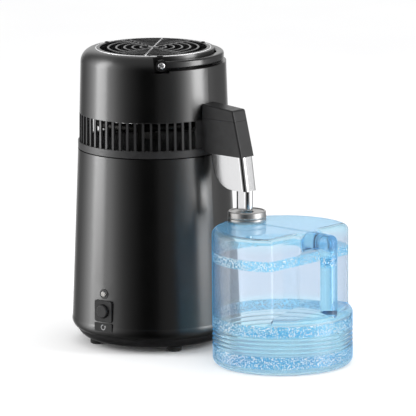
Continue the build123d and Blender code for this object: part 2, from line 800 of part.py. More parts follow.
# Condenser coil: one unbroken tube from the spout, up the helix, in and down to the lid
start_turn = math.asin(coil_bend / (coil_radius + coil_bend))
bend_x = (coil_radius + coil_bend) * math.cos(start_turn)
tube_mouth = Vector(band_radius + outlet_reach, 0, coil_outlet_z)
climb = Vector(0, 0, coil_pitch / (2 * math.pi * coil_radius))
helix_points = []
helix_ways = []
for quarter in range(coil_quarters + 1):
    angle = math.degrees(start_turn) + 90 * quarter
    level = coil_outlet_z + coil_pitch * quarter / 4
    is_end = quarter in (0, coil_quarters)
    slope = Vector(0, 0, 0) if is_end else climb
    helix_points.append(polar(coil_radius, angle, level))
    helix_ways.append((polar(1, angle + 90) + slope).normalized())
inward = polar(-1, angle)
tangent_way = polar(1, angle + 90)
turned_in = helix_points[-1] + (inward + tangent_way) * coil_bend
turned_down = turned_in + (inward - Vector(0, 0, 1)) * riser_bend
riser_end = Vector(turned_down.X, turned_down.Y, lid_z - lid_thickness)
with BuildPart() as condenser_coil:
    with BuildLine() as coil_path:
        Line(tube_mouth, Vector(bend_x, 0, coil_outlet_z))
        TangentArc(Vector(bend_x, 0, coil_outlet_z), helix_points[0], tangent=Vector(-1, 0, 0))
        for quarter in range(coil_quarters):
            biarc(
                helix_points[quarter],
                helix_ways[quarter],
                helix_points[quarter + 1],
                helix_ways[quarter + 1],
            )
        TangentArc(helix_points[-1], turned_in, tangent=tangent_way)
        TangentArc(turned_in, turned_down, tangent=inward)
        Line(turned_down, riser_end)
    with BuildSketch(Plane(origin=tube_mouth, z_dir=(-1, 0, 0))):
        Circle(tube_radius)
    sweep(path=coil_path.wire())
write(condenser_coil, "condenser_coil")

coil_wire = coil_path.wire()
sample_count = 480
sample_step = coil_wire.length / sample_count
samples = [
    coil_wire.position_at(k * sample_step, position_mode=PositionMode.LENGTH) for k in range(sample_count + 1)
]
half_turn = round(math.pi * coil_radius / sample_step)
coil_gap = min(
    (first - other).length for k, first in enumerate(samples) for other in samples[k + half_turn:]
)
print("condenser coil: least gap to itself", round(coil_gap - 2 * tube_radius, 2), "mm")

# Fittings at the two ends of the coil
with BuildPart() as steam_fitting:
    with BuildSketch(Plane.XY.offset(lid_top_z)):
        with Locations((riser_foot.X, riser_foot.Y)):
            RegularPolygon(tube_radius + fitting_wall, 6, major_radius=False)
            Circle(tube_radius, mode=Mode.SUBTRACT)
    extrude(amount=fitting_height)
write(steam_fitting, "steam_fitting")

with BuildPart() as outlet_ferrule:
    with BuildSketch(Plane.YZ.offset(louvre_radius)):
        with Locations((0, coil_outlet_z)):
            Circle(spout_width / 2 - spout_wall - ferrule_gap)
            Circle(tube_radius, mode=Mode.SUBTRACT)
    extrude(amount=ferrule_length)
write(outlet_ferrule, "outlet_ferrule")

# Stays: three upright straps that hold the coil's turns, standing on the lid
stay_radius = coil_radius + tube_radius + seat_gap + stay_thickness / 2
stay_height = coil_top_z + tube_radius - lid_top_z
with BuildPart() as coil_stays:
    with BuildSketch(Plane.XY.offset(lid_top_z)):
        with PolarLocations(stay_radius, stay_count, start_angle=180 / stay_count):
            Rectangle(stay_thickness, stay_width)
    extrude(amount=stay_height)
    with BuildSketch(Plane.XY.offset(lid_top_z)):
        with PolarLocations(stay_radius + stay_width / 2, stay_count, start_angle=180 / stay_count):
            Rectangle(stay_width, stay_width)
    extrude(amount=stay_thickness)
write(coil_stays, "coil_stays")

# Fan shroud: duct under the opening with a flange below the shell's rim
with BuildPart() as fan_shroud:
    with BuildSketch(Plane.XY.offset(rim_z)):
        Circle(shroud_radius + shroud_wall)
        Circle(shroud_radius, mode=Mode.SUBTRACT)
    extrude(amount=-shroud_depth)
    with BuildSketch(Plane.XY.offset(rim_z)):
        Circle(rebate_radius - head_wall - seat_gap)
        Circle(shroud_radius, mode=Mode.SUBTRACT)
    extrude(amount=-shroud_wall)
    with BuildSketch(Plane.XY.offset(rim_z)):
        guard_screw_radius = rim_radius - guard_screw_head - seat_gap
        with PolarLocations(guard_screw_radius, guard_screw_count, start_angle=guard_screw_angle):
            Circle(guard_screw_shank)
    extrude(amount=-shroud_wall, mode=Mode.SUBTRACT)
write(fan_shroud, "fan_shroud")

# Motor strap across the duct, and the motor under it
with BuildPart() as motor_strap:
    with BuildSketch(Plane.XY.offset(strap_z)):
        Circle(shroud_radius)
        Rectangle(3 * shroud_radius, strap_width, rotation=strap_angle, mode=Mode.INTERSECT)
        with PolarLocations(motor_radius / 2, 2, start_angle=strap_angle):
            Circle(guard_screw_shank, mode=Mode.SUBTRACT)
    extrude(amount=strap_thickness)
write(motor_strap, "motor_strap")

with BuildPart() as fan_motor:
    with BuildSketch(Plane.XY.offset(motor_z)):
        Circle(motor_radius)
    extrude(amount=motor_height)
    fillet(fan_motor.edges().group_by(Axis.Z)[0], radius=motor_height / 6)
    with BuildSketch(Plane.XY.offset(motor_z)):
        Circle(shaft_radius + run_gap)
    extrude(amount=motor_height - strap_thickness, mode=Mode.SUBTRACT)
    with BuildSketch(Plane.XY.offset(strap_z)):
        with PolarLocations(motor_radius / 2, 2, start_angle=strap_angle):
            Circle(guard_screw_shank)
    extrude(amount=-motor_height / 2, mode=Mode.SUBTRACT)
write(fan_motor, "fan_motor")

with BuildPart() as motor_screws:
    with BuildSketch(Plane.XY.offset(strap_z + strap_thickness)):
        with PolarLocations(motor_radius / 2, 2, start_angle=strap_angle):
            Circle(guard_screw_head)
    extrude(amount=guard_screw_shank)
    with BuildSketch(Plane.XY.offset(strap_z + strap_thickness)):
        with PolarLocations(motor_radius / 2, 2, start_angle=strap_angle):
            Circle(guard_screw_shank)
    extrude(amount=-strap_thickness - motor_height / 2)
write(motor_screws, "motor_screws")

# Fan rotor: shaft in the motor, hub and pitched blades
with BuildPart() as fan_shaft:
    with BuildSketch(Plane.XY.offset(hub_z)):
        Circle(shaft_radius)
    extrude(amount=hub_height + hub_gap + motor_height - 2 * strap_thickness)
write(fan_shaft, "fan_shaft")

blade_z = hub_z + hub_height / 2
with BuildPart() as fan_blade:
    for reach, chord, pitch in (
        (hub_radius - blade_thickness, blade_root_chord, blade_root_pitch),
        (blade_reach, blade_tip_chord, blade_tip_pitch),
    ):
        with BuildSketch(Plane(origin=(reach, 0, blade_z), x_dir=(0, 1, 0), z_dir=(1, 0, 0))):
            Rectangle(chord, blade_thickness, rotation=pitch)
    loft()

with BuildPart() as fan_rotor:
    with BuildSketch(Plane.XY.offset(hub_z)):
        Circle(hub_radius)
    extrude(amount=hub_height)
    with PolarLocations(0, blade_count):
        add(fan_blade.part)
    with BuildSketch(Plane.XY.offset(hub_z)):
        Circle(shaft_radius)
    extrude(amount=hub_height, mode=Mode.SUBTRACT)
write(fan_rotor, "fan_rotor")

# Fan guard: concentric rings on three crossing ribs
guard_radius = rim_radius - seat_gap / 2
guard_flange = 2 * (guard_screw_head + seat_gap)
guard_ring_count = math.floor((guard_radius - guard_flange - guard_hub_radius) / guard_ring_pitch)
with BuildPart() as fan_guard:
    with BuildSketch(Plane.XY.offset(rim_z)):
        Circle(guard_radius)
        Circle(guard_radius - guard_flange, mode=Mode.SUBTRACT)
        for k in range(guard_ring_count, 0, -1):
            ring_radius = guard_hub_radius + k * guard_ring_pitch
            Circle(ring_radius)
            Circle(ring_radius - guard_ring_width, mode=Mode.SUBTRACT)
        Circle(guard_hub_radius)
        for turn in (-guard_rib_spread, 0, guard_rib_spread):
            Rectangle(2 * guard_radius - guard_rib_width, guard_rib_width, rotation=strap_angle + turn)
        with PolarLocations(guard_screw_radius, guard_screw_count, start_angle=guard_screw_angle):
            Circle(guard_screw_shank, mode=Mode.SUBTRACT)
    extrude(amount=guard_height)
write(fan_guard, "fan_guard")

with BuildPart() as guard_screws:
    with BuildSketch(Plane.XY.offset(rim_z + guard_height)):
        with PolarLocations(guard_screw_radius, guard_screw_count, start_angle=guard_screw_angle):
            Circle(guard_screw_head)
    extrude(amount=guard_screw_shank)
    with BuildSketch(Plane.XY.offset(rim_z + guard_height)):
        with PolarLocations(guard_screw_radius, guard_screw_count, start_angle=guard_screw_angle):
            Circle(guard_screw_shank)
    extrude(amount=-guard_height - shroud_wall)
write(guard_screws, "guard_screws")

# Fan inlet: round two-pin socket on the rear of the head
fan_inlet_z = head_foot_z + fan_inlet_rise
with BuildPart() as fan_inlet:
    with BuildSketch(wall_plane(rear_angle, fan_inlet_z, head_radius(fan_inlet_z) + inlet_flange)):
        Circle(fan_inlet_radius + inlet_flange)
    extrude(amount=-2 * inlet_flange)
    add(head_form.part, mode=Mode.SUBTRACT)
    with BuildSketch(wall_plane(rear_angle, fan_inlet_z, rebate_radius)):
        Circle(fan_inlet_radius - slip_gap)
    extrude(amount=head_radius(fan_inlet_z) + inlet_flange - rebate_radius)
    with BuildSketch(wall_plane(rear_angle, fan_inlet_z, head_radius(fan_inlet_z) + inlet_flange)):
        Circle(fan_inlet_radius - slip_gap - inlet_wall)
        with GridLocations(fan_inlet_radius, 0, 2, 1):
            Circle(fan_pin_radius, mode=Mode.SUBTRACT)
    extrude(amount=-fan_inlet_radius, mode=Mode.SUBTRACT)
write(fan_inlet, "fan_inlet")

# Handle brackets: bosses on the pocket walls, each with a pivot screw through the handle's eye
pivot_sides = (pivot_angle, pivot_angle + 180)
eye_inner = bail_outer_radius - bail_eye_radius
with BuildPart() as handle_brackets:
    for side in pivot_sides:
        with BuildSketch(wall_plane(side, pivot_z, rebate_radius)):
            Circle(bracket_radius)
            Circle(pivot_radius, mode=Mode.SUBTRACT)
        extrude(amount=eye_inner - seat_gap - rebate_radius)
write(handle_brackets, "handle_brackets")

with BuildPart() as pivot_screws:
    for side in pivot_sides:
        with BuildSketch(wall_plane(side, pivot_z, bail_outer_radius + seat_gap)):
            Circle(pivot_head_radius)
        extrude(amount=pivot_head_height)
        with BuildSketch(wall_plane(side, pivot_z, rebate_radius)):
            Circle(pivot_radius)
        extrude(amount=bail_outer_radius + seat_gap - rebate_radius)
write(pivot_screws, "pivot_screws")

# Carrying handle: half ring with an eye at each end
with BuildPart() as carry_handle:
    bail_plane = Plane(origin=(0, 0, pivot_z), x_dir=polar(1, pivot_angle), z_dir=polar(-1, pivot_angle + 90))
    with BuildSketch(bail_plane):
        with Locations(((bail_inner_radius + bail_outer_radius) / 2, 0)):
            RectangleRounded(bail_outer_radius - bail_inner_radius, bail_height, bail_round)
    revolve(axis=Axis.Z, revolution_arc=180)
    for side in pivot_sides:
        with BuildSketch(wall_plane(side, pivot_z, bail_outer_radius)):
            Circle(bail_eye_radius)
        extrude(amount=-bail_eye_radius)
    for side in pivot_sides:
        with BuildSketch(wall_plane(side, pivot_z, rebate_radius)):
            Circle(bail_eye_radius + slip_gap)
        extrude(amount=eye_inner - rebate_radius, mode=Mode.SUBTRACT)
        with BuildSketch(wall_plane(side, pivot_z, rebate_radius)):
            Circle(pivot_radius + run_gap)
        extrude(amount=bail_outer_radius, mode=Mode.SUBTRACT)
        with BuildSketch(wall_plane(side, pivot_z, bail_outer_radius)):
            Circle(bail_eye_radius + slip_gap)
        extrude(amount=bail_eye_radius, mode=Mode.SUBTRACT)
write(carry_handle, "carry_handle")

# Spout: profile of the cover in its own upright plane, split by the seam into cover and cap
spout_root_x = louvre_inner_radius - 2 * head_wall


def spout_profile(inset):
    """Outline of the spout cover, drawn in by an inset."""
    end_slope = (spout_low_x - spout_end_x) / (spout_end_z - spout_low_z)
    low_x = spout_low_x + end_slope * inset - inset
    top_x = spout_end_x + end_slope * inset - inset
    Polyline(
        (spout_root_x, spout_low_z),
        (low_x, spout_low_z),
        (top_x, spout_end_z - inset),
        (spout_root_x, spout_root_z - inset),
        close=True,
    )


with BuildPart() as spout_outside:
    with BuildSketch(Plane.XZ):
        with BuildLine():
            spout_profile(0)
        make_face()
    extrude(amount=spout_width / 2, both=True)
    fillet(spout_outside.edges().filter_by(Axis.Y).sort_by(Axis.Z)[2], radius=spout_round)
    side_edges = spout_outside.faces().filter_by(Axis.Y).edges()
    free_edges = [e for e in side_edges if e.center().X > band_radius]
    outer_edges = [e for e in free_edges if e.center().Z > spout_low_z + spout_wall]
    fillet(outer_edges, radius=spout_round * 0.8)

with BuildPart() as spout_inside:
    with BuildSketch(Plane.XZ):
        with BuildLine():
            spout_profile(spout_wall)
        make_face()
    extrude(amount=spout_width / 2 - spout_wall, both=True)

with BuildPart() as spout_cover:
    add(spout_outside.part)
    with BuildSketch(Plane.XY.offset(spout_seam_z)):
        Rectangle(4 * band_radius, 2 * spout_width)
    extrude(amount=spout_root_z - spout_seam_z, mode=Mode.SUBTRACT)
    add(spout_inside.part, mode=Mode.SUBTRACT)
    add(head_form.part, mode=Mode.SUBTRACT)
write(spout_cover, "spout_cover")

# Spout cap: lifts off to change the filter; its skirt drops inside the cover
with BuildPart() as spout_skirt:
    with BuildSketch(Plane.XZ):
        with BuildLine():
            spout_profile(spout_wall)
        make_face()
    extrude(amount=spout_width / 2 - spout_wall, both=True)
    with BuildSketch(Plane.XY.offset(spout_seam_z + seat_gap)):
        Rectangle(4 * band_radius, 2 * spout_width)
    extrude(amount=-spout_seam_z, mode=Mode.SUBTRACT)
    with BuildSketch(Plane.XZ):
        with BuildLine():
            spout_profile(spout_wall + slip_gap)
        make_face()
    extrude(amount=spout_width / 2 - spout_wall - slip_gap, both=True)
    with BuildSketch(Plane.XZ):
        with BuildLine():
            spout_profile(2 * spout_wall)
        make_face()
    extrude(amount=spout_width / 2 - 2 * spout_wall, both=True, mode=Mode.SUBTRACT)
    with BuildSketch(Plane.XY.offset(spout_seam_z - cap_skirt)):
        Rectangle(4 * band_radius, 2 * spout_width)
    extrude(amount=-spout_root_z, mode=Mode.SUBTRACT)
    with BuildSketch(Plane.XY.offset(spout_seam_z + cap_skirt)):
        Rectangle(4 * band_radius, 2 * spout_width)
    extrude(amount=spout_root_z, mode=Mode.SUBTRACT)

with BuildPart() as spout_cap:
    add(spout_outside.part)
    add(spout_inside.part, mode=Mode.SUBTRACT)
    with BuildSketch(Plane.XY.offset(spout_seam_z + seat_gap)):
        Rectangle(4 * band_radius, 2 * spout_width)
    extrude(amount=-spout_seam_z, mode=Mode.SUBTRACT)
    add(spout_skirt.part)
    with BuildSketch(Plane.XY.offset(shell_top_z)):
        Circle(head_radius(spout_seam_z - cap_skirt) + slip_gap)
    extrude(amount=overall_height - shell_top_z, mode=Mode.SUBTRACT)
write(spout_cap, "spout_cap")


def cup_profile(inset):
    """Outline of the filter cup in the spout's upright plane, drawn in by an inset."""
    Polyline(
        (cup_top_back_x + inset, spout_low_z - inset),
        (cup_low_back_x + inset, cup_low_z + inset),
        (cup_low_end_x - inset, cup_low_z + inset),
        (spout_low_x - inset, spout_low_z - inset),
        close=True,
    )


# Filter cup: bright box with a rounded heel, its open collar inside the cover
with BuildPart() as filter_cup:
    with BuildSketch(Plane.XZ) as cup_side:
        with BuildLine():
            cup_profile(0)
        make_face()
        fillet(cup_side.vertices().group_by(Axis.Y)[0].sort_by(Axis.X)[0], radius=cup_round)
    extrude(amount=spout_width / 2 - cup_inset, both=True)
    with BuildSketch(Plane.XY.offset(spout_low_z)):
        collar_end = spout_low_x - 2 * spout_wall - slip_gap - cup_wall
        collar_width = spout_width - 2 * spout_wall - 2 * slip_gap
        with Locations(((cup_top_back_x + collar_end) / 2, 0)):
            Rectangle(collar_end - cup_top_back_x, collar_width)
    extrude(amount=cup_collar)
    with BuildSketch(Plane.XZ) as cup_space:
        with BuildLine():
            cup_profile(cup_wall)
        make_face()
        fillet(cup_space.vertices().group_by(Axis.Y)[0].sort_by(Axis.X)[0], radius=cup_round - cup_wall)
    extrude(amount=spout_width / 2 - cup_inset - cup_wall, both=True, mode=Mode.SUBTRACT)
    with BuildSketch(Plane.XY.offset(spout_low_z - cup_wall)):
        with Locations(((cup_top_back_x + collar_end) / 2, 0)):
            Rectangle(collar_end - cup_top_back_x - 2 * cup_wall, collar_width - 2 * cup_wall)
    extrude(amount=cup_collar + 2 * cup_wall, mode=Mode.SUBTRACT)
    with BuildSketch(Plane.XY.offset(cup_low_z)):
        with Locations((drip_x, 0)):
            Circle(drip_radius)
    extrude(amount=cup_wall, mode=Mode.SUBTRACT)
write(filter_cup, "filter_cup")

with BuildPart() as drip_tube:
    with BuildSketch(Plane.XY.offset(drip_low_z)):
        with Locations((drip_x, 0)):
            Circle(drip_radius)
            Circle(drip_radius - drip_wall, mode=Mode.SUBTRACT)
    extrude(amount=cup_low_z + cup_wall - drip_low_z)
    chamfer(drip_tube.edges().group_by(Axis.Z)[0], length=drip_wall / 3)
write(drip_tube, "drip_tube")

# Carbon sachet lying in the cup
with BuildPart() as carbon_sachet:
    with BuildSketch(Plane((drip_x - sachet_offset, 0, cup_low_z + cup_wall))):
        RectangleRounded(sachet_length, sachet_width, sachet_width / 4)
    extrude(amount=sachet_height)
    fillet(carbon_sachet.edges().group_by(Axis.Z)[-1], radius=sachet_width / 5)
write(carbon_sachet, "carbon_sachet")

# Jug: outside and inside are built alike, the inside drawn in by the wall
jug_side = Plane(origin=(jug_x, 0, 0), x_dir=(1, 0, 0), z_dir=(0, -1, 0))
jug_axis = Axis((jug_x, 0, 0), (0, 0, 1))
jug_upper_z = jug_rib_z + (jug_rib_count + 1) * jug_rib_pitch
ledge_fall = (jug_ledge_z - jug_ledge_edge_z) / (jug_radius - jug_flat_x)
ledge_peak_z = jug_ledge_edge_z + ledge_fall * jug_radius
edge_x = jug_radius - jug_ledge_round
edge_z = jug_ledge_edge_z + ledge_fall * jug_ledge_round

with BuildPart() as jug_space:
    with BuildSketch(Plane((jug_x, 0, jug_upper_z))) as space_plan:
        Circle(jug_radius - jug_wall)
        with Locations((jug_flat_x - jug_wall, 0)):
            Rectangle(2 * jug_radius, 2 * jug_radius, align=(Align.MIN, Align.CENTER), mode=Mode.SUBTRACT)
        fillet(space_plan.vertices(), radius=jug_flat_corner - jug_wall)
    extrude(amount=jug_height - jug_wall - jug_upper_z)
    fillet(jug_space.faces().sort_by(Axis.Z)[-1].edges(), radius=jug_shoulder - jug_wall)
    with BuildSketch(jug_side):
        with BuildLine():
            space_x = jug_radius - jug_wall - jug_rib_depth
            space_round = jug_base_round - jug_wall
            space_edge_z = jug_ledge_edge_z - jug_wall - jug_ledge_round
            Line((0, jug_wall), (space_x - space_round, jug_wall))
            RadiusArc((space_x - space_round, jug_wall), (space_x, jug_wall + space_round), -space_round)
            Line((space_x, jug_wall + space_round), (space_x, space_edge_z))
            Line((space_x, space_edge_z), (edge_x - jug_wall, edge_z - jug_wall))
            Line((edge_x - jug_wall, edge_z - jug_wall), (0, ledge_peak_z - jug_wall))
            Line((0, ledge_peak_z - jug_wall), (0, jug_wall))
        make_face()
    revolve(axis=jug_axis)
    with BuildSketch(Plane((neck_x, 0, jug_height - 2 * jug_wall))):
        Circle(neck_radius - neck_wall)
    extrude(amount=2 * jug_wall + neck_height)

with BuildPart() as jug_body:
    with BuildSketch(Plane((jug_x, 0, jug_upper_z))) as jug_plan:
        Circle(jug_radius)
        with Locations((jug_flat_x, 0)):
            Rectangle(2 * jug_radius, 2 * jug_radius, align=(Align.MIN, Align.CENTER), mode=Mode.SUBTRACT)
        fillet(jug_plan.vertices(), radius=jug_flat_corner)
        with Locations((jug_flat_x - jug_wall, 0)):
            Rectangle(grip_outer_x - jug_flat_x + jug_wall, grip_width, align=(Align.MIN, Align.CENTER))
        ends = jug_plan.vertices().group_by(Axis.X)[-1]
        fillet(ends, radius=grip_corner)
        throat = [v for v in jug_plan.vertices() if abs(v.Y) < grip_width and v.X < jug_flat_x + seat_gap]
        fillet(throat, radius=grip_gusset)
    extrude(amount=jug_height - jug_upper_z)
    fillet(jug_body.faces().sort_by(Axis.Z)[-1].edges(), radius=jug_shoulder)
    with BuildSketch(jug_side) as grip_hole:
        with Locations((jug_flat_x, jug_upper_z)):
            Rectangle(grip_inner_x - jug_flat_x, grip_arch_z - jug_upper_z, align=(Align.MIN, Align.MIN))
        fillet(grip_hole.vertices().group_by(Axis.Y)[-1], radius=grip_arch_round)
    extrude(amount=jug_radius, both=True, mode=Mode.SUBTRACT)
    with BuildSketch(jug_side):
        with BuildLine():
            Line((0, 0), (jug_radius - jug_base_round, 0))
            RadiusArc((jug_radius - jug_base_round, 0), (jug_radius, jug_base_round), -jug_base_round)
            Line((jug_radius, jug_base_round), (jug_radius, jug_rib_z))
            for k in range(jug_rib_count):
                rib_z = jug_rib_z + k * jug_rib_pitch
                groove = (jug_radius - jug_rib_depth, rib_z + jug_rib_pitch / 2)
                ThreePointArc((jug_radius, rib_z), groove, (jug_radius, rib_z + jug_rib_pitch))
            ribs_top_z = jug_rib_z + jug_rib_count * jug_rib_pitch
            Line((jug_radius, ribs_top_z), (jug_radius, jug_ledge_edge_z - jug_ledge_round))
            TangentArc(
                (jug_radius, jug_ledge_edge_z - jug_ledge_round), (edge_x, edge_z), tangent=(0, 1)
            )
            Line((edge_x, edge_z), (0, ledge_peak_z))
            Line((0, ledge_peak_z), (0, 0))
        make_face()
    revolve(axis=jug_axis)
    with BuildSketch(Plane((neck_x, 0, jug_height - jug_wall))):
        Circle(neck_radius)
    extrude(amount=jug_wall + neck_height)
    ridge_start = neck_x + cap_radius + seat_gap
    with BuildSketch(Plane((ridge_start, 0, jug_height))):
        Rectangle(jug_x + grip_inner_x - ridge_start, ridge_width, align=(Align.MIN, Align.CENTER))
    extrude(amount=ridge_height)
    add(jug_space.part, mode=Mode.SUBTRACT)
write(jug_body, "jug_body")

# Jug cap with its seal
with BuildPart() as jug_cap:
    with BuildSketch(Plane((neck_x, 0, cap_z))):
        Circle(cap_radius)
    extrude(amount=cap_height)
    chamfer(jug_cap.edges().group_by(Axis.Z)[-1], length=cap_edge)
    with BuildSketch(Plane((neck_x, 0, cap_z + cap_groove_z))):
        Circle(cap_radius)
        Circle(cap_radius - cap_groove, mode=Mode.SUBTRACT)
    extrude(amount=cap_groove_height, mode=Mode.SUBTRACT)
    with BuildSketch(Plane((neck_x, 0, cap_z))):
        Circle(neck_radius + slip_gap)
    extrude(amount=cap_height - cap_top, mode=Mode.SUBTRACT)
    with BuildSketch(Plane((neck_x, 0, cap_z + cap_height))):
        Circle(cap_dish_radius)
    extrude(amount=-cap_dish_depth, mode=Mode.SUBTRACT)
    with BuildSketch(Plane((neck_x, 0, cap_z))):
        Circle(cap_hole_radius)
    extrude(amount=cap_height, mode=Mode.SUBTRACT)
write(jug_cap, "jug_cap")

with BuildPart() as cap_seal:
    with BuildSketch(Plane((neck_x, 0, cap_z + cap_height - cap_top))):
        Circle(neck_radius)
        Circle(neck_radius - neck_wall, mode=Mode.SUBTRACT)
    extrude(amount=-seal_thickness)
write(cap_seal, "cap_seal")
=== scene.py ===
import math

import bmesh
import bpy
import numpy as np
from mathutils import Matrix, Vector


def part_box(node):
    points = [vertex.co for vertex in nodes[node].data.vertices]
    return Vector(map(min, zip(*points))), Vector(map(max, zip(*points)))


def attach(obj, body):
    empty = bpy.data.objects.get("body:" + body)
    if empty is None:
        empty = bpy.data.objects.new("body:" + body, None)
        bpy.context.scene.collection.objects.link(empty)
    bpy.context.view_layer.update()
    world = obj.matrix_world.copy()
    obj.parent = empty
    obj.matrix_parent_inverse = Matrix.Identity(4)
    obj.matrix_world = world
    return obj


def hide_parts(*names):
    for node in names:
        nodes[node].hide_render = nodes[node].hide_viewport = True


# Looks of the countertop water distiller. Sizes are in mm here and in metres in the meshes.

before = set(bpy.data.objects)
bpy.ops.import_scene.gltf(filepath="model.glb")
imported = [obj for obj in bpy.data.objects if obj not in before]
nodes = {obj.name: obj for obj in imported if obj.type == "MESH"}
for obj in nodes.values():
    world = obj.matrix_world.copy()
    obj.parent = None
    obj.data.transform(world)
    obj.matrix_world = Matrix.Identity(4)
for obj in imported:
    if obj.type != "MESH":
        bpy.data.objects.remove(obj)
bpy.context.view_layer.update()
scene = bpy.context.scene
scene.view_settings.view_transform = "Standard"
MM = 0.001
UP = (0.0, 0.0, 1.0)


def corners(node):
    """Lowest and highest corner of a node at rest, in mm."""
    low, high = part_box(node)
    return np.array(low) / MM, np.array(high) / MM


# Angles about the boiler's axis in degrees, from the spout's direction
STRAP_ANGLE = -57.0
PIVOT_ANGLE = -41.0
CONTROL_ANGLE = -86.0
GUARD_SCREW_ANGLE = -51.0

# Fan guard: flange with its pale ring of painted highlight and its clip, rings round a hub, and ribs
guard_low, guard_high = corners("fan_guard")
RIM_Z = guard_low[2]
GUARD_TOP = guard_high[2]
GUARD_RADIUS = guard_high[0]
GUARD_FLANGE = 5.4
# Width of the flange's pale outer ring, a painted highlight on the rim's edge
GUARD_HIGHLIGHT_RING = 1.1
GUARD_HUB = 7.0
GUARD_PITCH = 9.8
GUARD_RING = 2.6
GUARD_RINGS = 5
RIB_SPREAD = 36.0
RIB_INSET = 2.0
RIB_LIFT = 0.1
RIB_DROP = 0.2
CLIP_SIZE = (3.6, 7.4, 2.8)
CLIP_PROUD = 0.5

# Screws: the circle that they stand on, and their head radius and height, shank radius and length.
# The dome's edge and the cross recess are in shares of the head.
GUARD_SCREW_CIRCLE = 67.6
GUARD_SCREW = (2.4, 1.2, 1.2, 4.0)
STRAP_SCREW_CIRCLE = 13.0
STRAP_SCREW = (2.4, 1.2, 1.2, 10.0)
STRAP_TOP = corners("motor_strap")[1][2]
PIVOT_SEAT = 85.8
PIVOT_ROOT = 73.5
PIVOT_SCREW = (4.1, 2.2, 3.0, PIVOT_SEAT - PIVOT_ROOT)
PIVOT_Z = np.mean(corners("pivot_screws"), axis=0)[2]
DOME_EDGE = 0.45
RECESS_ARM = 0.14
RECESS_REACH = 0.74
RECESS_DEPTH = 0.8

# Filter cup with its collar, and the nozzle under it
cup_low, cup_high = corners("filter_cup")
cover_low, cover_high = corners("spout_cover")
CUP_LOW_Z = cup_low[2]
CUP_TOP_Z = cover_low[2]
CUP_BACK_X = cup_low[0]
CUP_HEEL_X = 110.0
CUP_END_X = cup_high[0]
CUP_END_TOP_X = cover_high[0]
CUP_HALF = cup_high[1]
CUP_WALL = 1.4
CUP_ROUND = 30.0
CUP_END_CORNER = 6.0
CUP_BACK_CORNER = 2.2
COLLAR_TOP_Z = cup_high[2]
COLLAR_END_X = 146.2
COLLAR_HALF = 9.6
COLLAR_CORNER = 1.6
NOZZLE_LOW_Z = corners("drip_tube")[0][2]
NOZZLE_BACK_X = 135.6
NOZZLE_END_X = 157.6
NOZZLE_HALF = 6.2
NOZZLE_WALL = 1.3
NOZZLE_FIT = 0.02
NOZZLE_EDGE = 0.4

# Filter bag: its box, how flat its crimped ends are, and how far its sides pull in
bag_low, bag_high = corners("carbon_sachet")
BAG_X = (bag_low[0] + bag_high[0]) / 2
BAG_LOW_Z = bag_low[2]
BAG_HEIGHT = bag_high[2] - bag_low[2]
BAG_LIFT = 0.1
BAG_SLACK = 0.4
BAG_CRIMP = 0.06
BAG_FLAT = 0.35
BAG_FULL = 6.4
BAG_HALF_WIDTH = 7.1
BAG_PULL = 0.7

# Jug's cap, the jug's stippled bands and thick stretches by height, where its grip starts, and the label
CAP_RADIUS = 23.5
CAP_X = corners("jug_cap")[1][0] - CAP_RADIUS
CAP_Z = corners("jug_cap")[0][2]
STIPPLE_BANDS = ((8.5, 23.0), (47.0, 60.0), (126.0, 138.0))
FOOT_FADE = (60.0, 68.0)
DECK_FADE = (145.0, 162.0)
GRIP_X = 272.0
LABEL_Z = np.mean(corners("label_plate"), axis=0)[2]


# Surfaces

def grid_faces(rows, cols, wrap_rows, wrap_cols):
    """Quads between neighbouring points of a rows by cols grid; a wrapped side also joins its last line to
    its first."""
    r = np.arange(rows if wrap_rows else rows - 1)
    c = np.arange(cols if wrap_cols else cols - 1)
    r, c = np.meshgrid(r, c, indexing="ij")
    r2, c2 = (r + 1) % rows, (c + 1) % cols
    quads = np.stack([r * cols + c, r2 * cols + c, r2 * cols + c2, r * cols + c2], axis=-1)
    return quads.reshape(-1, 4)


def close_up(mesh):
    """Merges the doubled points at seams and poles, and turns every face outwards."""
    bm = bmesh.new()
    bm.from_mesh(mesh)
    bmesh.ops.remove_doubles(bm, verts=bm.verts, dist=1e-7)
    bmesh.ops.recalc_face_normals(bm, faces=bm.faces)
    bm.to_mesh(mesh)
    bm.free()


def piece_from(name, patches, finish, body, replaces=None, sharp=None):
    """One mesh object from several patches, each an array of points and an array of quads over them. Edges
    that turn by more than the sharp angle, in radians, stay crisp."""
    points, faces, count = [], [], 0
    for spots, quads in patches:
        spots = np.asarray(spots, float).reshape(-1, 3)
        points.append(spots)
        faces.append(quads + count)
        count += len(spots)
    mesh = bpy.data.meshes.new(name)
    mesh.from_pydata(np.concatenate(points) * MM, [], np.concatenate(faces).tolist())
    mesh.polygons.foreach_set("use_smooth", np.ones(len(mesh.polygons), bool))
    mesh.materials.append(FINISHES[finish])
    close_up(mesh)
    if sharp:
        mesh.set_sharp_from_angle(angle=sharp)
    piece = bpy.data.objects.new(name, mesh)
    scene.collection.objects.link(piece)
    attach(piece, body)
    if replaces:
        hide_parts(replaces)
    return piece


def frame_of(axis):
    """Two unit vectors square to an axis and to each other, and the axis itself."""
    ez = np.asarray(axis, float) / np.linalg.norm(axis)
    side = np.array([0.0, 0.0, 1.0]) if abs(ez[2]) < 0.9 else np.array([1.0, 0.0, 0.0])
    ex = np.cross(side, ez)
    ex /= np.linalg.norm(ex)
    return ex, np.cross(ez, ex), ez


def swept_round(radius, height, centre, axis, u):
    """Rings about an axis: point = centre + radius (cos u ex + sin u ey) + height ez."""
    ex, ey, ez = frame_of(axis)
    ring = np.cos(u)[..., None] * ex + np.sin(u)[..., None] * ey
    return np.asarray(centre, float) + radius[..., None] * ring + height[..., None] * ez


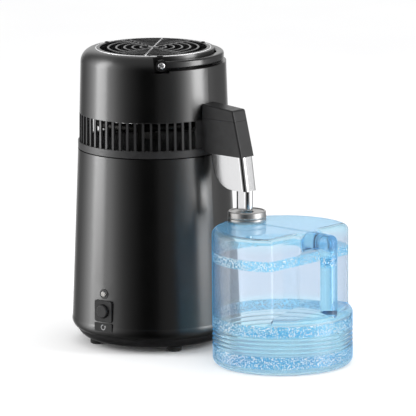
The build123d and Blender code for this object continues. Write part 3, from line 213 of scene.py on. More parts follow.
def turned(profile, centre, axis, steps=64):
    """A profile of (radius, height) points turned once about an axis."""
    radius, height = np.asarray(profile, float).T
    u = np.linspace(0, 2 * np.pi, steps, endpoint=False)[:, None]
    points = swept_round(radius[None, :], height[None, :], centre, axis, u)
    return points, grid_faces(steps, len(radius), True, False)


def polar(radius, angle, z):
    """Point at a radius and an angle in degrees about the boiler's axis."""
    a = math.radians(angle)
    return np.array([radius * math.cos(a), radius * math.sin(a), z])


def turned_to(angle, out, side, z):
    """Points given by distance out, to the side and up, turned to an angle in degrees about the axis."""
    a = math.radians(angle)
    x = out * math.cos(a) - side * math.sin(a)
    y = out * math.sin(a) + side * math.cos(a)
    return np.stack(np.broadcast_arrays(x, y, z), axis=-1)


def squarish(wave, power):
    """A sine or cosine raised to a small power with its sign kept, which squares off what it rounds."""
    return np.sign(wave) * np.abs(wave) ** power


# Finishes

class NodeTree:
    """Short ways to add shader nodes and join them."""

    def __init__(self, tree):
        self.nodes = tree.nodes
        self.links = tree.links

    def add(self, kind, **settings):
        """A node with its properties set."""
        node = self.nodes.new(kind)
        for key, value in settings.items():
            setattr(node, key, value)
        return node

    def feed(self, value, socket):
        """Links another node's output to a socket, or sets the socket to a number or shade."""
        if hasattr(value, "links"):
            self.links.new(value, socket)
        else:
            socket.default_value = value

    def math(self, operation, first, second=0.0):
        """One arithmetic step between sockets or numbers."""
        node = self.add("ShaderNodeMath", operation=operation)
        self.feed(first, node.inputs[0])
        self.feed(second, node.inputs[1])
        return node.outputs[0]

    def spread(self, value, low, high, source=(0.3, 0.7), **settings):
        """Maps a value from its source range onto another range."""
        node = self.add("ShaderNodeMapRange", **settings)
        ends = ("From Min", "From Max", "To Min", "To Max")
        for end, number in zip(ends, (*source, low, high)):
            node.inputs[end].default_value = number
        self.links.new(value, node.inputs["Value"])
        return node.outputs["Result"]


class Finish(NodeTree):
    """A node material: one principled shader on object coordinates, with grain, tone, gloss and relief."""

    def __init__(self, name, sockets):
        self.material = bpy.data.materials.new(name)
        self.material.use_nodes = True
        super().__init__(self.material.node_tree)
        self.inputs = self.nodes["Principled BSDF"].inputs
        for socket, value in sockets.items():
            self.inputs[socket].default_value = value
        self.place = self.add("ShaderNodeTexCoord").outputs["Object"]
        self.normal = None

    def axes(self):
        """The object coordinates as three sockets, in metres."""
        node = self.add("ShaderNodeSeparateXYZ")
        self.links.new(self.place, node.inputs[0])
        return node.outputs["X"], node.outputs["Y"], node.outputs["Z"]

    def length(self, first, second):
        """Square root of the sum of two squares."""
        squares = [self.math("MULTIPLY", value, value) for value in (first, second)]
        return self.math("SQRT", self.math("ADD", *squares))

    def noise(self, scale, detail=3.0, stretch=None, place=None):
        """Cloudy noise; scale is features per metre, stretch squeezes it along an axis."""
        source = place or self.place
        if stretch:
            mapping = self.add("ShaderNodeMapping")
            mapping.inputs["Scale"].default_value = stretch
            self.links.new(source, mapping.inputs["Vector"])
            source = mapping.outputs["Vector"]
        node = self.add("ShaderNodeTexNoise")
        node.inputs["Scale"].default_value = scale
        node.inputs["Detail"].default_value = detail
        self.links.new(source, node.inputs["Vector"])
        return node.outputs["Fac"]

    def cells(self, scale):
        """Distance to the nearest of scattered points; scale is cells per metre."""
        node = self.add("ShaderNodeTexVoronoi")
        node.inputs["Scale"].default_value = scale
        self.links.new(self.place, node.inputs["Vector"])
        return node.outputs["Distance"]

    def blend(self, factor, low, high):
        """Colour between two shades, each a shade or another blend."""
        node = self.add("ShaderNodeMix", data_type="RGBA")
        self.links.new(factor, node.inputs["Factor"])
        for socket, shade in zip([s for s in node.inputs if s.type == "RGBA"], (low, high)):
            self.feed((*shade, 1.0) if isinstance(shade, tuple) else shade, socket)
        return [s for s in node.outputs if s.type == "RGBA"][0]

    def tone(self, value, low, high):
        """Base colour between two shades."""
        self.feed(self.blend(self.spread(value, 0.0, 1.0), low, high), self.inputs["Base Color"])

    def gloss(self, value, low, high):
        """Roughness between two values."""
        self.feed(self.spread(value, low, high), self.inputs["Roughness"])

    def relief(self, value, strength, depth):
        """Raised and sunk grain of a depth in mm; each call adds to the last."""
        node = self.add("ShaderNodeBump")
        node.inputs["Strength"].default_value = strength
        node.inputs["Distance"].default_value = depth * MM
        self.links.new(value, node.inputs["Height"])
        if self.normal:
            self.links.new(self.normal, node.inputs["Normal"])
        self.normal = node.outputs["Normal"]
        self.links.new(self.normal, self.inputs["Normal"])


def satin_paint():
    """Baked satin black on the steel shells, with a faint peel."""
    f = Finish("satin_black_paint", {"IOR": 1.85, "Anisotropic": 0.8, "Anisotropic Rotation": 0.25})
    f.tone(f.noise(35.0), (0.0006, 0.0006, 0.0007), (0.0013, 0.0013, 0.0014))
    f.gloss(f.noise(60.0, 4.0), 0.32, 0.335)
    f.relief(f.noise(1500.0, 1.0), 0.05, 0.03)
    return f.material


def moulded_black(name, low, high, rough, grain, index=1.55):
    """Black moulding with a fine spark-eroded grain."""
    f = Finish(name, {"IOR": index})
    f.tone(f.noise(80.0), low, high)
    f.gloss(f.noise(220.0, 4.0), rough - 0.04, rough + 0.05)
    f.relief(f.cells(1800.0), grain, 0.06)
    return f.material


def rubber():
    """Dull black rubber with dust in its skin."""
    f = Finish("foot_rubber", {"IOR": 1.5, "Specular IOR Level": 0.3})
    f.tone(f.noise(400.0, 5.0), (0.010, 0.010, 0.010), (0.022, 0.022, 0.021))
    f.gloss(f.noise(300.0), 0.72, 0.86)
    f.relief(f.noise(2500.0, 2.0), 0.2, 0.05)
    return f.material


# Stretch of brush lines along x, y and z
EVEN = (1.0, 1.0, 1.0)
UPRIGHT = (1.0, 1.0, 0.06)


def brushed(name, shade, rough, stretch, tint=0.03, metal=1.0):
    """Bright metal with brush lines drawn along one axis; less metal gives a lacquered, paler look."""
    f = Finish(name, {"Metallic": metal})
    lines = f.noise(900.0, 4.0, stretch)
    f.tone(lines, tuple(c - tint for c in shade), tuple(c + tint for c in shade))
    f.gloss(lines, rough - 0.04, rough + 0.06)
    f.relief(lines, 0.04, 0.02)
    return f.material


def spun_steel():
    """Spun steel of the jug's cap: fine turned lines, the same all round the cap's own axis."""
    f = Finish("spun_steel_cap", {"Metallic": 1.0})
    x, y, z = f.axes()
    section = f.add("ShaderNodeCombineXYZ")
    f.links.new(f.length(f.math("SUBTRACT", x, CAP_X * MM), y), section.inputs["X"])
    f.links.new(z, section.inputs["Y"])
    lines = f.noise(2600.0, place=section.outputs[0])
    f.tone(lines, (0.54, 0.53, 0.52), (0.68, 0.67, 0.66))
    f.gloss(lines, 0.28, 0.38)
    f.relief(lines, 0.05, 0.02)
    return f.material


def jug_plastic():
    """Clear blue polycarbonate: pale in the thin walls, deeper in the thick foot, deck and grip, and bluest
    where the surface turns away; the moulded bands are stippled with fine frosted grains."""
    f = Finish("jug_clear_blue", {"IOR": 1.45, "Sheen Weight": 0.9, "Sheen Roughness": 0.35,
                                  "Sheen Tint": (0.1, 0.52, 1.0, 1.0)})
    thin_shade, thick_shade = (0.82, 0.85, 0.91), (0.8, 0.96, 1.0)
    gap_shade, grain_shade = (0.38, 0.78, 1.0), (1.0, 1.0, 1.0)
    clear, frost = 0.92, 0.65
    along, _, height = f.axes()
    foot = f.spread(height, 1.0, 0.0, [z * MM for z in FOOT_FADE])
    deck = f.spread(height, 0.0, 1.0, [z * MM for z in DECK_FADE])
    grip = f.math("GREATER_THAN", along, GRIP_X * MM)
    thick = f.math("MAXIMUM", f.math("MAXIMUM", foot, deck), grip)
    stipple = 0.0
    for low, high in STIPPLE_BANDS:
        above = f.math("GREATER_THAN", height, low * MM)
        inside = f.math("MULTIPLY", above, f.math("LESS_THAN", height, high * MM))
        stipple = f.math("MAXIMUM", stipple, inside)
    cells = f.cells(520.0)
    grains = f.math("MULTIPLY", f.spread(cells, 1.0, 0.0, (0.32, 0.43)), stipple)
    shade = f.blend(stipple, f.blend(thick, thin_shade, thick_shade), gap_shade)
    f.feed(f.blend(grains, shade, grain_shade), f.inputs["Base Color"])
    f.feed(f.math("SUBTRACT", clear, f.math("MULTIPLY", grains, frost)), f.inputs["Transmission Weight"])
    smooth = f.spread(f.noise(60.0), 0.0, 0.03)
    f.feed(f.math("ADD", f.math("MULTIPLY", stipple, 0.06), smooth), f.inputs["Roughness"])
    f.relief(f.math("MULTIPLY", cells, stipple), 0.2, 0.7)
    f.relief(f.noise(25.0, 1.0), 0.06, 1.0)
    depth = f.add("ShaderNodeVolumeAbsorption")
    depth.inputs["Color"].default_value = (0.05, 0.68, 0.97, 1.0)
    depth.inputs["Density"].default_value = 34.0
    f.links.new(depth.outputs[0], f.nodes["Material Output"].inputs["Volume"])
    return f.material


def woven(name, low, high, scale):
    """Thin cloth: two crossed sets of threads."""
    f = Finish(name, {"Roughness": 0.9, "Sheen Weight": 0.2})
    upright, level = f.noise(scale, 2.0, (1, 1, 0.2)), f.noise(scale, 2.0, (0.2, 0.2, 1))
    thread = f.math("MULTIPLY", upright, level)
    f.tone(thread, low, high)
    f.relief(thread, 0.5, 0.15)
    return f.material


def clear_lens():
    """Frosted clear lens of the pilot lamp."""
    f = Finish("lamp_lens", {"IOR": 1.5, "Transmission Weight": 0.5})
    f.tone(f.noise(600.0), (0.55, 0.53, 0.51), (0.8, 0.78, 0.75))
    f.gloss(f.noise(900.0), 0.15, 0.3)
    return f.material


def printed_label():
    """Black plate with a plain turning-arrow mark in pale grey: a ring with a gap, and a triangle at its
    end. Across and above are mm from the middle of the plate."""
    f = Finish("printed_label", {"IOR": 1.5})
    ring_radius, half_line = 2.9, 0.5
    gap_left, gap_low = 0.2, 0.6
    tip_left, tip_right, tip_lean = 1.0, 5.0, 0.75
    x, y, z = f.axes()
    a = math.radians(CONTROL_ANGLE + 90)
    across = f.math("ADD", f.math("MULTIPLY", x, math.cos(a) / MM),
                    f.math("MULTIPLY", y, math.sin(a) / MM))
    above = f.math("DIVIDE", f.math("SUBTRACT", z, LABEL_Z * MM), MM)
    off_line = f.math("ABSOLUTE", f.math("SUBTRACT", f.length(across, above), ring_radius))
    raised = f.math("GREATER_THAN", above, gap_low)
    gap = f.math("MULTIPLY", f.math("GREATER_THAN", across, gap_left), raised)
    ring = f.math("MULTIPLY", f.math("LESS_THAN", off_line, half_line), f.math("SUBTRACT", 1.0, gap))
    lean = f.math("MULTIPLY", above, tip_lean)
    left = f.math("GREATER_THAN", f.math("SUBTRACT", across, lean), tip_left)
    right = f.math("LESS_THAN", f.math("ADD", across, lean), tip_right)
    tip = f.math("MULTIPLY", raised, f.math("MULTIPLY", left, right))
    ink = f.math("MULTIPLY", f.math("MAXIMUM", ring, tip), f.spread(f.noise(900.0, 4.0), 0.75, 1.0))
    f.feed(f.blend(ink, (0.006, 0.006, 0.0065), (0.42, 0.42, 0.43)), f.inputs["Base Color"])
    f.gloss(f.noise(220.0, 4.0), 0.34, 0.42)
    return f.material


FINISHES = {
    "paint": satin_paint(),
    "moulding": moulded_black("black_moulding", (0.004, 0.004, 0.0045), (0.010, 0.010, 0.011), 0.42, 0.08),
    "louvre": moulded_black("louvre_moulding", (0.014, 0.014, 0.0145), (0.022, 0.022, 0.023), 0.36, 0.05),
    "spout": moulded_black("spout_moulding", (0.010, 0.010, 0.0105), (0.018, 0.018, 0.019), 0.34, 0.05),
    "button": moulded_black("button_moulding", (0.008, 0.008, 0.0085), (0.014, 0.014, 0.015), 0.3, 0.03),
    "fan": moulded_black("fan_moulding", (0.006, 0.006, 0.0065), (0.014, 0.014, 0.015), 0.45, 0.04),
    "motor": moulded_black("motor_enamel", (0.006, 0.006, 0.007), (0.012, 0.012, 0.013), 0.5, 0.1),
    "grille": moulded_black("grille_moulding", (0.006, 0.006, 0.0065), (0.012, 0.012, 0.013), 0.26, 0.03),
    "handle": moulded_black("handle_moulding", (0.003, 0.003, 0.0035), (0.007, 0.007, 0.0075), 0.2, 0.02,
                            index=1.6),
    # The steel lid plate and chamber rim are near black and dull: painted shade inside the head and in the
    # gap under the band.
    "lid": moulded_black("lid_painted_shade_black", (0.006, 0.006, 0.0065), (0.012, 0.012, 0.0125), 0.8, 0.05,
                         index=1.15),
    # Pale half-metal ring round the guard's flange: a painted highlight on the rim's edge.
    "highlight_ring": brushed("pale_highlight_ring", (0.80, 0.80, 0.81), 0.38, EVEN, 0.04, metal=0.3),
    "zinc": brushed("zinc_plate", (0.72, 0.72, 0.73), 0.30, EVEN, 0.05),
    # Coil, its stays and the steam fitting are dark steel: painted shade inside the head behind the louvre.
    "coil": brushed("coil_tube_painted_shade", (0.034, 0.033, 0.032), 0.45, EVEN, 0.008),
    "aluminium": brushed("cast_aluminium", (0.66, 0.67, 0.68), 0.42, EVEN, 0.06),
    "steel": brushed("drawn_steel", (0.60, 0.60, 0.61), 0.24, UPRIGHT),
    "pot": brushed("brushed_pot", (0.80, 0.80, 0.81), 0.34, UPRIGHT),
    "cup": brushed("bright_cup", (0.86, 0.86, 0.87), 0.14, (1.0, 1.0, 0.05), 0.015),
    # Bright metal of the motor strap; on the guard's middle rib the same metal is a painted highlight.
    "strap": brushed("bright_strap_and_highlight", (0.78, 0.78, 0.79), 0.3, (0.3, 0.3, 1.0)),
    "brass": brushed("brass_blades", (0.72, 0.58, 0.30), 0.25, (1.0, 0.1, 1.0)),
    "cap": spun_steel(),
    "rubber": rubber(),
    "jug": jug_plastic(),
    "sachet": woven("sachet_cloth", (0.55, 0.54, 0.5), (0.8, 0.79, 0.75), 1500.0),
    "lens": clear_lens(),
    "label": printed_label(),
}

NODE_FINISH = {
    "paint": ["boiler_shell", "head_shell"],
    "moulding": ["base_tray", "fan_guard", "reset_bezel", "fan_shroud", "lamp_holder", "mains_inlet",
                 "lead_grommet", "fan_inlet", "handle_brackets", "reset_switch", "boil_dry_cutout"],
    "handle": ["carry_handle"],
    "label": ["label_plate"],
    "louvre": ["louvre_ring"],
    "spout": ["spout_cover", "spout_cap"],
    "button": ["reset_button"],
    "fan": ["fan_rotor"],
    "motor": ["fan_motor"],
    "rubber": ["rubber_feet", "lid_gasket", "cap_seal"],
    # Coil parts take the dark steel of painted shade.
    "coil": ["condenser_coil", "coil_stays", "steam_fitting"],
    "steel": ["outlet_ferrule", "fan_shaft", "foot_screws", "guard_screws", "motor_screws", "heater_clamp",
              "clamp_nut", "heating_element"],
    "pot": ["boiling_chamber", "chamber_floor"],
    # Steel lid plate and chamber rim take the near-black finish of painted shade.
    "lid": ["lid_plate", "chamber_rim"],
    "strap": ["motor_strap"],
    "cup": ["filter_cup", "drip_tube", "pivot_screws"],
    "cap": ["jug_cap"],
    "aluminium": ["heater_plate"],
    "brass": ["inlet_pins"],
    "jug": ["jug_body"],
    "sachet": ["carbon_sachet"],
    "lens": ["pilot_lamp"],
}
for finish, names in NODE_FINISH.items():
    for name in names:
        slots = nodes[name].data.materials
        slots.clear()
        slots.append(FINISHES[finish])


# Pieces in place of solids, and the clip

def rounded_ring(inner, outer, low, high):
    """A ring with a squarish oval section: radius and height follow the 0.6 power of cosine and sine."""
    steps, section = 144, 20
    t = np.linspace(0, 2 * np.pi, section, endpoint=False)
    radius = (inner + outer) / 2 + (outer - inner) / 2 * squarish(np.cos(t), 0.6)
    height = (low + high) / 2 + (high - low) / 2 * squarish(np.sin(t), 0.6)
    u = np.linspace(0, 2 * np.pi, steps, endpoint=False)[:, None]
    points = np.stack(np.broadcast_arrays(radius * np.cos(u), radius * np.sin(u), height), axis=-1)
    return points, grid_faces(steps, section, True, True)


def rounded_bar(angle, half_length, width, low, high):
    """A straight rib through the axis: an oval section carried along its length, drawn to a point at each
    end."""
    section = 16
    t = np.linspace(0, 2 * np.pi, section, endpoint=False)
    reach = np.array([-half_length, -half_length, half_length, half_length])[:, None]
    full = np.array([0.0, 1.0, 1.0, 0.0])[:, None]
    side = full * width / 2 * np.cos(t)
    height = (low + high) / 2 + full * (high - low) / 2 * np.sin(t)
    return turned_to(angle, reach, side, height), grid_faces(len(reach), section, False, True)


def make_fan_guard():
    """Flange, rings and hub with rounded edges, on crossing ribs; a pale ring round the flange is a painted
    highlight on the rim's edge, and the middle rib is bright metal, a painted highlight along it, and
    stands level with the rings."""
    wall = GUARD_RADIUS - GUARD_HIGHLIGHT_RING
    highlight_ring = rounded_ring(wall, GUARD_RADIUS, RIM_Z, GUARD_TOP)
    piece_from("grille_highlight_ring", [highlight_ring], "highlight_ring", "head", "fan_guard")
    patches = [rounded_ring(GUARD_RADIUS - GUARD_FLANGE, wall, RIM_Z, GUARD_TOP)]
    for k in range(1, GUARD_RINGS + 1):
        outer = GUARD_HUB + k * GUARD_PITCH
        patches.append(rounded_ring(outer - GUARD_RING, outer, RIM_Z, GUARD_TOP))
    hub = [(0, RIM_Z), (GUARD_HUB - 0.6, RIM_Z), (GUARD_HUB, RIM_Z + 0.6), (GUARD_HUB, GUARD_TOP - 0.8),
           (GUARD_HUB - 0.4, GUARD_TOP - 0.2), (GUARD_HUB - 1.4, GUARD_TOP), (0, GUARD_TOP)]
    patches.append(turned(hub, (0, 0, 0), UP))
    reach, low = GUARD_RADIUS - RIB_INSET, RIM_Z + RIB_LIFT
    for spread in (-RIB_SPREAD, RIB_SPREAD):
        patches.append(rounded_bar(STRAP_ANGLE + spread, reach, GUARD_RING, low, GUARD_TOP - RIB_DROP))
    piece_from("grille_rings", patches, "grille", "head", "fan_guard")
    # The middle rib takes the bright strap metal: a painted highlight along its top.
    bar = rounded_bar(STRAP_ANGLE, reach, GUARD_RING, low, GUARD_TOP)
    piece_from("grille_highlight_bar", [bar], "strap", "head", "fan_guard")


def make_rim_clip():
    """Small clip over the flange's pale ring of painted highlight: a squarish ball whose three coordinates
    are the 0.3 power of a unit ball's, stretched to the clip's half sizes and turned to its angle."""
    rows, cols = 25, 48
    u = np.linspace(0, 2 * np.pi, cols, endpoint=False)[None, :]
    v = np.linspace(-np.pi / 2, np.pi / 2, rows)[:, None]
    level = squarish(np.cos(v), 0.3)
    across, along, above = (size / 2 for size in CLIP_SIZE)
    out = GUARD_RADIUS + CLIP_PROUD - across + across * level * squarish(np.cos(u), 0.3)
    side = along * level * squarish(np.sin(u), 0.3)
    z = RIM_Z + above + above * squarish(np.sin(v), 0.3)
    clip = turned_to(PIVOT_ANGLE, out, side, z), grid_faces(rows, cols, False, True)
    piece_from("rim_clip", [clip], "grille", "head")


def cross_screw(seat, axis, sizes):
    """A domed head with a cross recess over a plain shank: height over the seat is the dome less the recess
    depth, which fades in where either cross arm is near and the radius is small."""
    head_radius, head_height, shank_radius, shank_length = sizes
    steps, rings = 96, 30
    u = np.linspace(0, 2 * np.pi, steps, endpoint=False)[:, None]
    share = np.linspace(1.0, 0.0, rings)[None, :]
    r = head_radius * share
    dome = head_height * (DOME_EDGE + (1 - DOME_EDGE) * np.sqrt(1 - share ** 2))
    arm = np.minimum(np.abs(share * np.cos(u)), np.abs(share * np.sin(u)))
    near = np.clip(1.5 - arm / RECESS_ARM, 0, 1) * np.clip(5 * (RECESS_REACH - share), 0, 1)
    dome = dome - RECESS_DEPTH * head_height * near
    below = np.array([(0.0, -shank_length), (shank_radius, -shank_length),
                      (shank_radius, 0.0), (head_radius, 0.0)])
    below_radius, below_height = np.broadcast_to(below.T[:, None, :], (2, steps, len(below)))
    radius = np.concatenate([below_radius, np.broadcast_to(r, (steps, rings))], axis=1)
    height = np.concatenate([below_height, dome], axis=1)
    points = swept_round(radius, height, seat, axis, u)
    return points, grid_faces(steps, len(below) + rings, True, False)


def make_screws():
    """Screws that show: three in the guard, two in the motor strap and the handle's two pivots."""
    guard = [cross_screw(polar(GUARD_SCREW_CIRCLE, GUARD_SCREW_ANGLE + 120 * k, GUARD_TOP), UP, GUARD_SCREW)
             for k in range(3)]
    piece_from("guard_screw_heads", guard, "grille", "head", "guard_screws")
    strap = [cross_screw(polar(STRAP_SCREW_CIRCLE, STRAP_ANGLE + 180 * k, STRAP_TOP), UP, STRAP_SCREW)
             for k in range(2)]
    piece_from("strap_screw_heads", strap, "zinc", "head", "motor_screws")
    pivots = [cross_screw(polar(PIVOT_SEAT, angle, PIVOT_Z), polar(1.0, angle, 0.0), PIVOT_SCREW)
              for angle in (PIVOT_ANGLE, PIVOT_ANGLE + 180)]
    piece_from("pivot_screw_heads", pivots, "zinc", "head", "pivot_screws")


HEEL_STEPS = 28
CORNER_STEPS = 16
ROW_POINTS = 4 * CORNER_STEPS


def rounded_rows(back, end, half, z, end_corner, back_corner):
    """Level rectangles from back to end, half to each side, with quarter circles at the corners."""
    quarter = np.radians(np.linspace(0, 90, CORNER_STEPS))
    a = quarter[None, None, :] + np.radians([0, 90, 180, 270])[None, :, None]
    radius = np.array([end_corner, back_corner, back_corner, end_corner])[None, :, None]
    near_end, near_back = end - end_corner, back + back_corner
    x = np.stack([near_end, near_back, near_back, near_end], axis=1)[..., None]
    y = np.array([1, 1, -1, -1])[None, :, None] * (half - radius)
    rows = np.broadcast_arrays(x + radius * np.cos(a), y + radius * np.sin(a), z[:, None, None])
    return np.stack(rows, axis=-1).reshape(len(z), ROW_POINTS, 3)


def level_rows(back, end, half, heights, corner):
    """The same rounded rectangle at several heights."""
    same = np.ones(len(heights))
    return rounded_rows(back * same, end * same, half, np.array(heights), corner, corner)


def cup_rows(inset):
    """Outlines of the cup from its top to its floor. Each is a rectangle with rounded corners: the back
    edge follows the leaning back line and then the heel's arc, the end leans out, and every side is drawn
    in by an inset."""
    lean = np.array([CUP_TOP_Z - CUP_LOW_Z, CUP_HEEL_X - CUP_BACK_X])
    lean = lean / np.linalg.norm(lean)
    centre_z = CUP_LOW_Z + CUP_ROUND
    centre_x = CUP_HEEL_X + CUP_ROUND * (1 - lean[1]) / lean[0]
    turn = np.linspace(math.pi + math.atan2(lean[1], lean[0]), 1.5 * math.pi, HEEL_STEPS)
    back = np.concatenate([[CUP_BACK_X + inset], centre_x + (CUP_ROUND - inset) * np.cos(turn)])
    z = np.concatenate([[CUP_TOP_Z - inset], centre_z + (CUP_ROUND - inset) * np.sin(turn)])
    up = (z - CUP_LOW_Z) / (CUP_TOP_Z - CUP_LOW_Z)
    end = CUP_END_X + (CUP_END_TOP_X - CUP_END_X) * up - inset
    return rounded_rows(back, end, CUP_HALF - inset, z, CUP_END_CORNER - inset, CUP_BACK_CORNER - inset)


def collar_rows(inset, heights):
    """Level rows of the collar that goes up into the spout, drawn in by an inset."""
    return level_rows(CUP_BACK_X + inset, COLLAR_END_X - inset, COLLAR_HALF - inset, heights,
                      COLLAR_CORNER - inset)


def nozzle_rows(inset, heights):
    """Level rows of the drip nozzle, a rectangle with half-round ends, drawn in by an inset."""
    half = NOZZLE_HALF - inset
    return level_rows(NOZZLE_BACK_X + inset, NOZZLE_END_X - inset, half, heights, half)


def piece_from_rows(name, row_sets, replaces):
    """Bright piece of the head from closed rows, the last of which joins the first."""
    rows = np.concatenate(row_sets)
    patch = rows, grid_faces(len(rows), ROW_POINTS, True, True)
    return piece_from(name, [patch], "cup", "head", replaces, sharp=0.5)


def make_cup():
    """Bright cup with broad rounded end corners: the collar and the outline rows down the outside, over the
    rim of the nozzle's hole, and back up inside to the open collar."""
    floor_top = CUP_LOW_Z + CUP_WALL
    return piece_from_rows("bright_filter_cup", [
        collar_rows(0.0, [COLLAR_TOP_Z, CUP_TOP_Z]),
        cup_rows(0.0),
        nozzle_rows(0.0, [CUP_LOW_Z, floor_top]),
        cup_rows(CUP_WALL)[::-1],
        collar_rows(CUP_WALL, [CUP_TOP_Z - CUP_WALL, COLLAR_TOP_Z]),
    ], "filter_cup")


def make_nozzle():
    """Oblong nozzle under the cup: rows down the outside, round the lower rim and back up inside."""
    top = CUP_LOW_Z + CUP_WALL
    return piece_from_rows("drip_nozzle", [
        nozzle_rows(NOZZLE_FIT, [top, NOZZLE_LOW_Z + NOZZLE_EDGE]),
        nozzle_rows(NOZZLE_EDGE, [NOZZLE_LOW_Z]),
        nozzle_rows(NOZZLE_WALL, [NOZZLE_LOW_Z, top]),
    ], "drip_tube")


def make_cap():
    """Two-tier spun cap: one profile of (radius, height) turned about the neck, from the rolled-in foot
    over the groove, the bead, the upper wall and the rolled rim to the dish, the drip hole and the bore."""
    foot = [(20.0, 0.0), (21.9, 0.0), (22.6, 0.3), (23.1, 0.9), (23.2, 1.6), (23.2, 4.0), (22.9, 4.6),
            (21.8, 5.0)]
    bead = [(21.8, 5.5), (23.2, 5.7), (CAP_RADIUS, 6.1), (CAP_RADIUS, 6.7), (23.1, 7.1), (22.9, 7.6)]
    rim = [(22.9, 11.7), (22.7, 12.4), (22.2, 12.9), (21.6, 13.0), (21.0, 12.8), (20.5, 12.3), (20.1, 11.9)]
    dish = [(19.4, 11.8), (8.5, 11.8), (8.1, 11.6), (8.0, 11.2)]
    bore = [(8.0, 10.0), (20.0, 10.0), (20.0, 0.0)]
    shape = turned(foot + bead + rim + dish + bore, (CAP_X, 0, CAP_Z), UP, steps=128)
    return piece_from("spun_jug_cap", [shape], "cap", "cap", "jug_cap", sharp=0.8)


def make_bag():
    """Filter bag: an oval tube along its height, full in the middle by a power of a half sine wave and
    drawn flat at both crimped ends, where its sides pull in less; a few soft wrinkles run up it."""
    rows, cols = 57, 72
    u = np.linspace(0, 2 * np.pi, cols, endpoint=False)[None, :]
    v = np.linspace(0, 1, rows)[:, None]
    inner = np.clip((v - BAG_CRIMP) / (1 - 2 * BAG_CRIMP), 0, 1)
    swell = np.clip(np.sin(np.pi * inner), 0, 1) ** 0.55
    closing = np.minimum(1, 40 * np.minimum(v, 1 - v))
    upright = 0.05 * np.sin(7 * u + 2 * np.sin(5 * v))
    level = 0.03 * np.sin(31 * v) * np.cos(2 * u)
    crease = 1 + swell * (upright + level)
    x = BAG_X + (BAG_FLAT * closing + BAG_FULL * swell) * crease * np.cos(u)
    y = (BAG_HALF_WIDTH - BAG_PULL * swell) * crease * np.sin(u)
    z = BAG_LOW_Z + BAG_LIFT + (BAG_HEIGHT - BAG_SLACK) * v
    points = np.stack(np.broadcast_arrays(x, y, z), axis=-1)
    patch = points, grid_faces(rows, cols, False, True)
    bag = piece_from("filter_bag", [patch], "sachet", "head", "carbon_sachet")


make_fan_guard()
make_rim_clip()
make_screws()
bright_pieces = [make_cup(), make_nozzle(), make_cap()]
make_bag()

# Stage: pale floor, soft boxes left and right, camera as in the photograph

CAMERA_AZIMUTH, CAMERA_PITCH, CAMERA_ROLL = (math.radians(v) for v in (42.0, 10.9, 0.4))
FOCAL_PX = 5500.0
MM_PER_PX = 1.222
ORIGIN_PX = (155.8, 338.2)
IMAGE_PX = 416
SENSOR_MM = 36.0
toward = Vector((math.sin(CAMERA_AZIMUTH), -math.cos(CAMERA_AZIMUTH), 0.0))
rightward = Vector((-toward.y, toward.x, 0.0))


def make_camera():
    """Camera whose picture puts the origin at ORIGIN_PX, with a long lens."""
    back = toward * math.cos(CAMERA_PITCH) + Vector((0, 0, math.sin(CAMERA_PITCH)))
    up = back.cross(rightward)
    across = rightward * math.cos(CAMERA_ROLL) - up * math.sin(CAMERA_ROLL)
    above = up * math.cos(CAMERA_ROLL) + rightward * math.sin(CAMERA_ROLL)
    half = IMAGE_PX / 2
    place = back * FOCAL_PX - across * (ORIGIN_PX[0] - half) - above * (half - ORIGIN_PX[1])
    data = bpy.data.cameras.new("camera")
    data.sensor_width = SENSOR_MM
    data.lens = SENSOR_MM * FOCAL_PX / IMAGE_PX
    camera = bpy.data.objects.new("camera", data)
    scene.collection.objects.link(camera)
    turn = Matrix((across, above, back)).transposed().to_4x4()
    camera.matrix_world = Matrix.Translation(place * MM_PER_PX * MM) @ turn
    scene.camera = camera


def left_out(name, parts):
    """Collection of parts that a lamp leaves out."""
    group = bpy.data.collections.new(name)
    for part in parts:
        group.objects.link(part)
    for part in group.collection_objects:
        part.light_linking.link_state = "EXCLUDE"
    return group


# Flat and bright parts are lit by the room alone, because the soft boxes burn them out. The jug also
# casts no shadow from the boxes.
SHADED_NODES = ("jug_body", "spout_cover", "spout_cap", "reset_bezel", "reset_button", "label_plate")
shaded = left_out("shaded", bright_pieces + [nodes[name] for name in SHADED_NODES])
see_through = left_out("see_through", [nodes["jug_body"]])

# Soft boxes, in metres
BOX_DISTANCE = 1.1
BOX_HEIGHT = 2.6
BOX_CENTRE_Z = -0.1
BOX_RADIANCE = 5.6


def soft_box(name, angle, width):
    """Upright area lamp at an angle in degrees to the right of the camera, facing the boiler's axis."""
    a = math.radians(angle)
    middle = Vector((0, 0, BOX_CENTRE_Z))
    place = (toward * math.cos(a) + rightward * math.sin(a)) * BOX_DISTANCE + middle
    data = bpy.data.lights.new(name, "AREA")
    data.shape = "RECTANGLE"
    data.size = width
    data.size_y = BOX_HEIGHT
    data.energy = BOX_RADIANCE * math.pi * width * BOX_HEIGHT
    lamp = bpy.data.objects.new(name, data)
    scene.collection.objects.link(lamp)
    lamp.light_linking.receiver_collection = shaded
    lamp.light_linking.blocker_collection = see_through
    lamp.location = place
    lamp.rotation_euler = (middle - place).to_track_quat("-Z", "Y").to_euler()


FLOOR_RADII = (0.0, 400.0, 2500.0, 30000.0)
FLOOR_GLOW = 0.16


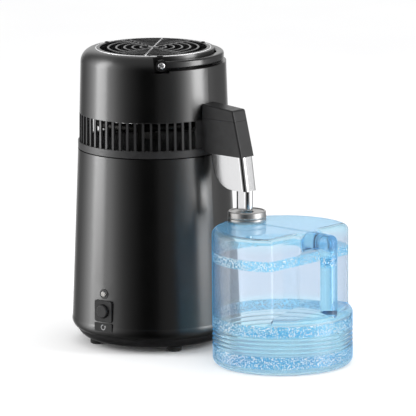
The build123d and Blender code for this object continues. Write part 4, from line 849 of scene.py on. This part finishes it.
def make_floor():
    """Wide pale disc that takes the shadows. It is a little brighter through the jug, and clear to rays
    that were mirrored before they went through."""
    points, faces = turned([(radius, 0.0) for radius in FLOOR_RADII], (0, 0, 0), UP, steps=48)
    mesh = bpy.data.meshes.new("floor")
    mesh.from_pydata(points.reshape(-1, 3) * MM, [], faces.tolist())
    floor = bpy.data.objects.new("floor", mesh)
    scene.collection.objects.link(floor)
    floor.visible_glossy = False
    f = Finish("pale_floor", {"Roughness": 0.9, "Specular IOR Level": 0.0,
                              "Emission Color": (1.0, 1.0, 1.0, 1.0)})
    f.tone(f.noise(3.0), (0.88, 0.88, 0.885), (0.9, 0.9, 0.9))
    path = f.add("ShaderNodeLightPath").outputs
    f.feed(f.math("MULTIPLY", path["Is Transmission Ray"], FLOOR_GLOW), f.inputs["Emission Strength"])
    mirrored = f.math("MINIMUM", path["Glossy Depth"], 1.0)
    through = f.math("MULTIPLY", path["Is Transmission Ray"], mirrored)
    f.feed(f.math("SUBTRACT", 1.0, through), f.inputs["Alpha"])
    mesh.materials.append(f.material)


# Brightness of the room in reflections, by angle in degrees to the right of the camera
ROOM_BRIGHTNESS = {
    -180: 0.9, -165: 0.9, -152: 0.2, -135: 0.3, -122: 0.8, -110: 1.9, -98: 3.0, -95: 0.9, -74: 0.9,
    -72: 2.0, -66: 1.4, -58: 0.75, -46: 0.33, -34: 0.14, -24: 0.05, -18: 0.0, 3: 0.0, 8: 0.12, 30: 0.22,
    40: 0.45, 50: 1.2, 62: 3.2, 86: 3.0, 88: 0.85, 102: 0.7, 111: 0.5, 130: 0.35,
    153: 0.25, 165: 0.9, 180: 0.9,
}
ROOM_PEAK = 4.0
DOME_BRIGHTNESS = 1.1
# Heights, as sines, over which the room turns into the ceiling, and into the dim part below
CEILING, CEILING_BRIGHTNESS = (0.35, 0.8), 0.35
BELOW, BELOW_SHARE = (-0.65, -0.28), 0.08


def make_world():
    """White backdrop for the camera and for what is seen through the jug, a plain dome for the light, and a
    room of bright and dark stretches in reflections."""
    world = bpy.data.worlds.new("studio")
    scene.world = world
    world.use_nodes = True
    world.cycles.sampling_method = "NONE"
    t = NodeTree(world.node_tree)
    place = t.add("ShaderNodeTexCoord").outputs["Generated"]

    def along(direction):
        """Share of the view direction along another."""
        node = t.add("ShaderNodeVectorMath", operation="DOT_PRODUCT")
        node.inputs[1].default_value = direction
        t.links.new(place, node.inputs[0])
        return node.outputs["Value"]

    turn = t.math("DIVIDE", t.math("ARCTAN2", along(rightward), along(toward)), 2 * math.pi)
    room = t.add("ShaderNodeValToRGB")
    t.links.new(t.math("ADD", turn, 0.5), room.inputs["Fac"])
    stops = room.color_ramp.elements
    while len(stops) < len(ROOM_BRIGHTNESS):
        stops.new(0.5)
    for stop, (angle, brightness) in zip(stops, ROOM_BRIGHTNESS.items()):
        stop.position = angle / 360 + 0.5
        stop.color = (*[brightness / ROOM_PEAK] * 3, 1.0)
    ceiling = t.spread(along(UP), 0.0, 1.0, CEILING, interpolation_type="SMOOTHSTEP")
    dimming = t.spread(along(UP), BELOW_SHARE, 1.0, BELOW, interpolation_type="SMOOTHSTEP")
    walls = t.math("MULTIPLY", t.math("MULTIPLY", room.outputs["Color"], ROOM_PEAK), dimming)
    walls = t.math("MULTIPLY", walls, t.math("SUBTRACT", 1.0, ceiling))
    around = t.math("ADD", walls, t.math("MULTIPLY", ceiling, CEILING_BRIGHTNESS))

    path = t.add("ShaderNodeLightPath").outputs
    through = t.math("MINIMUM", path["Transmission Depth"], 1.0)
    mirrored = t.math("MINIMUM", path["Glossy Depth"], 1.0)
    mirrored = t.math("MULTIPLY", mirrored, t.math("SUBTRACT", 1.0, through))
    strength = t.math("ADD", t.math("SUBTRACT", 1.0, mirrored), t.math("MULTIPLY", mirrored, around))
    soft = path["Is Diffuse Ray"]
    strength = t.math("MULTIPLY", strength, t.math("SUBTRACT", 1.0, soft))
    strength = t.math("ADD", strength, t.math("MULTIPLY", soft, DOME_BRIGHTNESS))
    background = t.nodes["Background"].inputs
    background["Color"].default_value = (1.0, 1.0, 1.0, 1.0)
    t.links.new(strength, background["Strength"])


make_camera()
make_floor()
make_world()
soft_box("soft_box_left", -86.0, 0.42)
soft_box("soft_box_right", 73.0, 0.40)
scene.cycles.max_bounces = 24
scene.cycles.transmission_bounces = 24
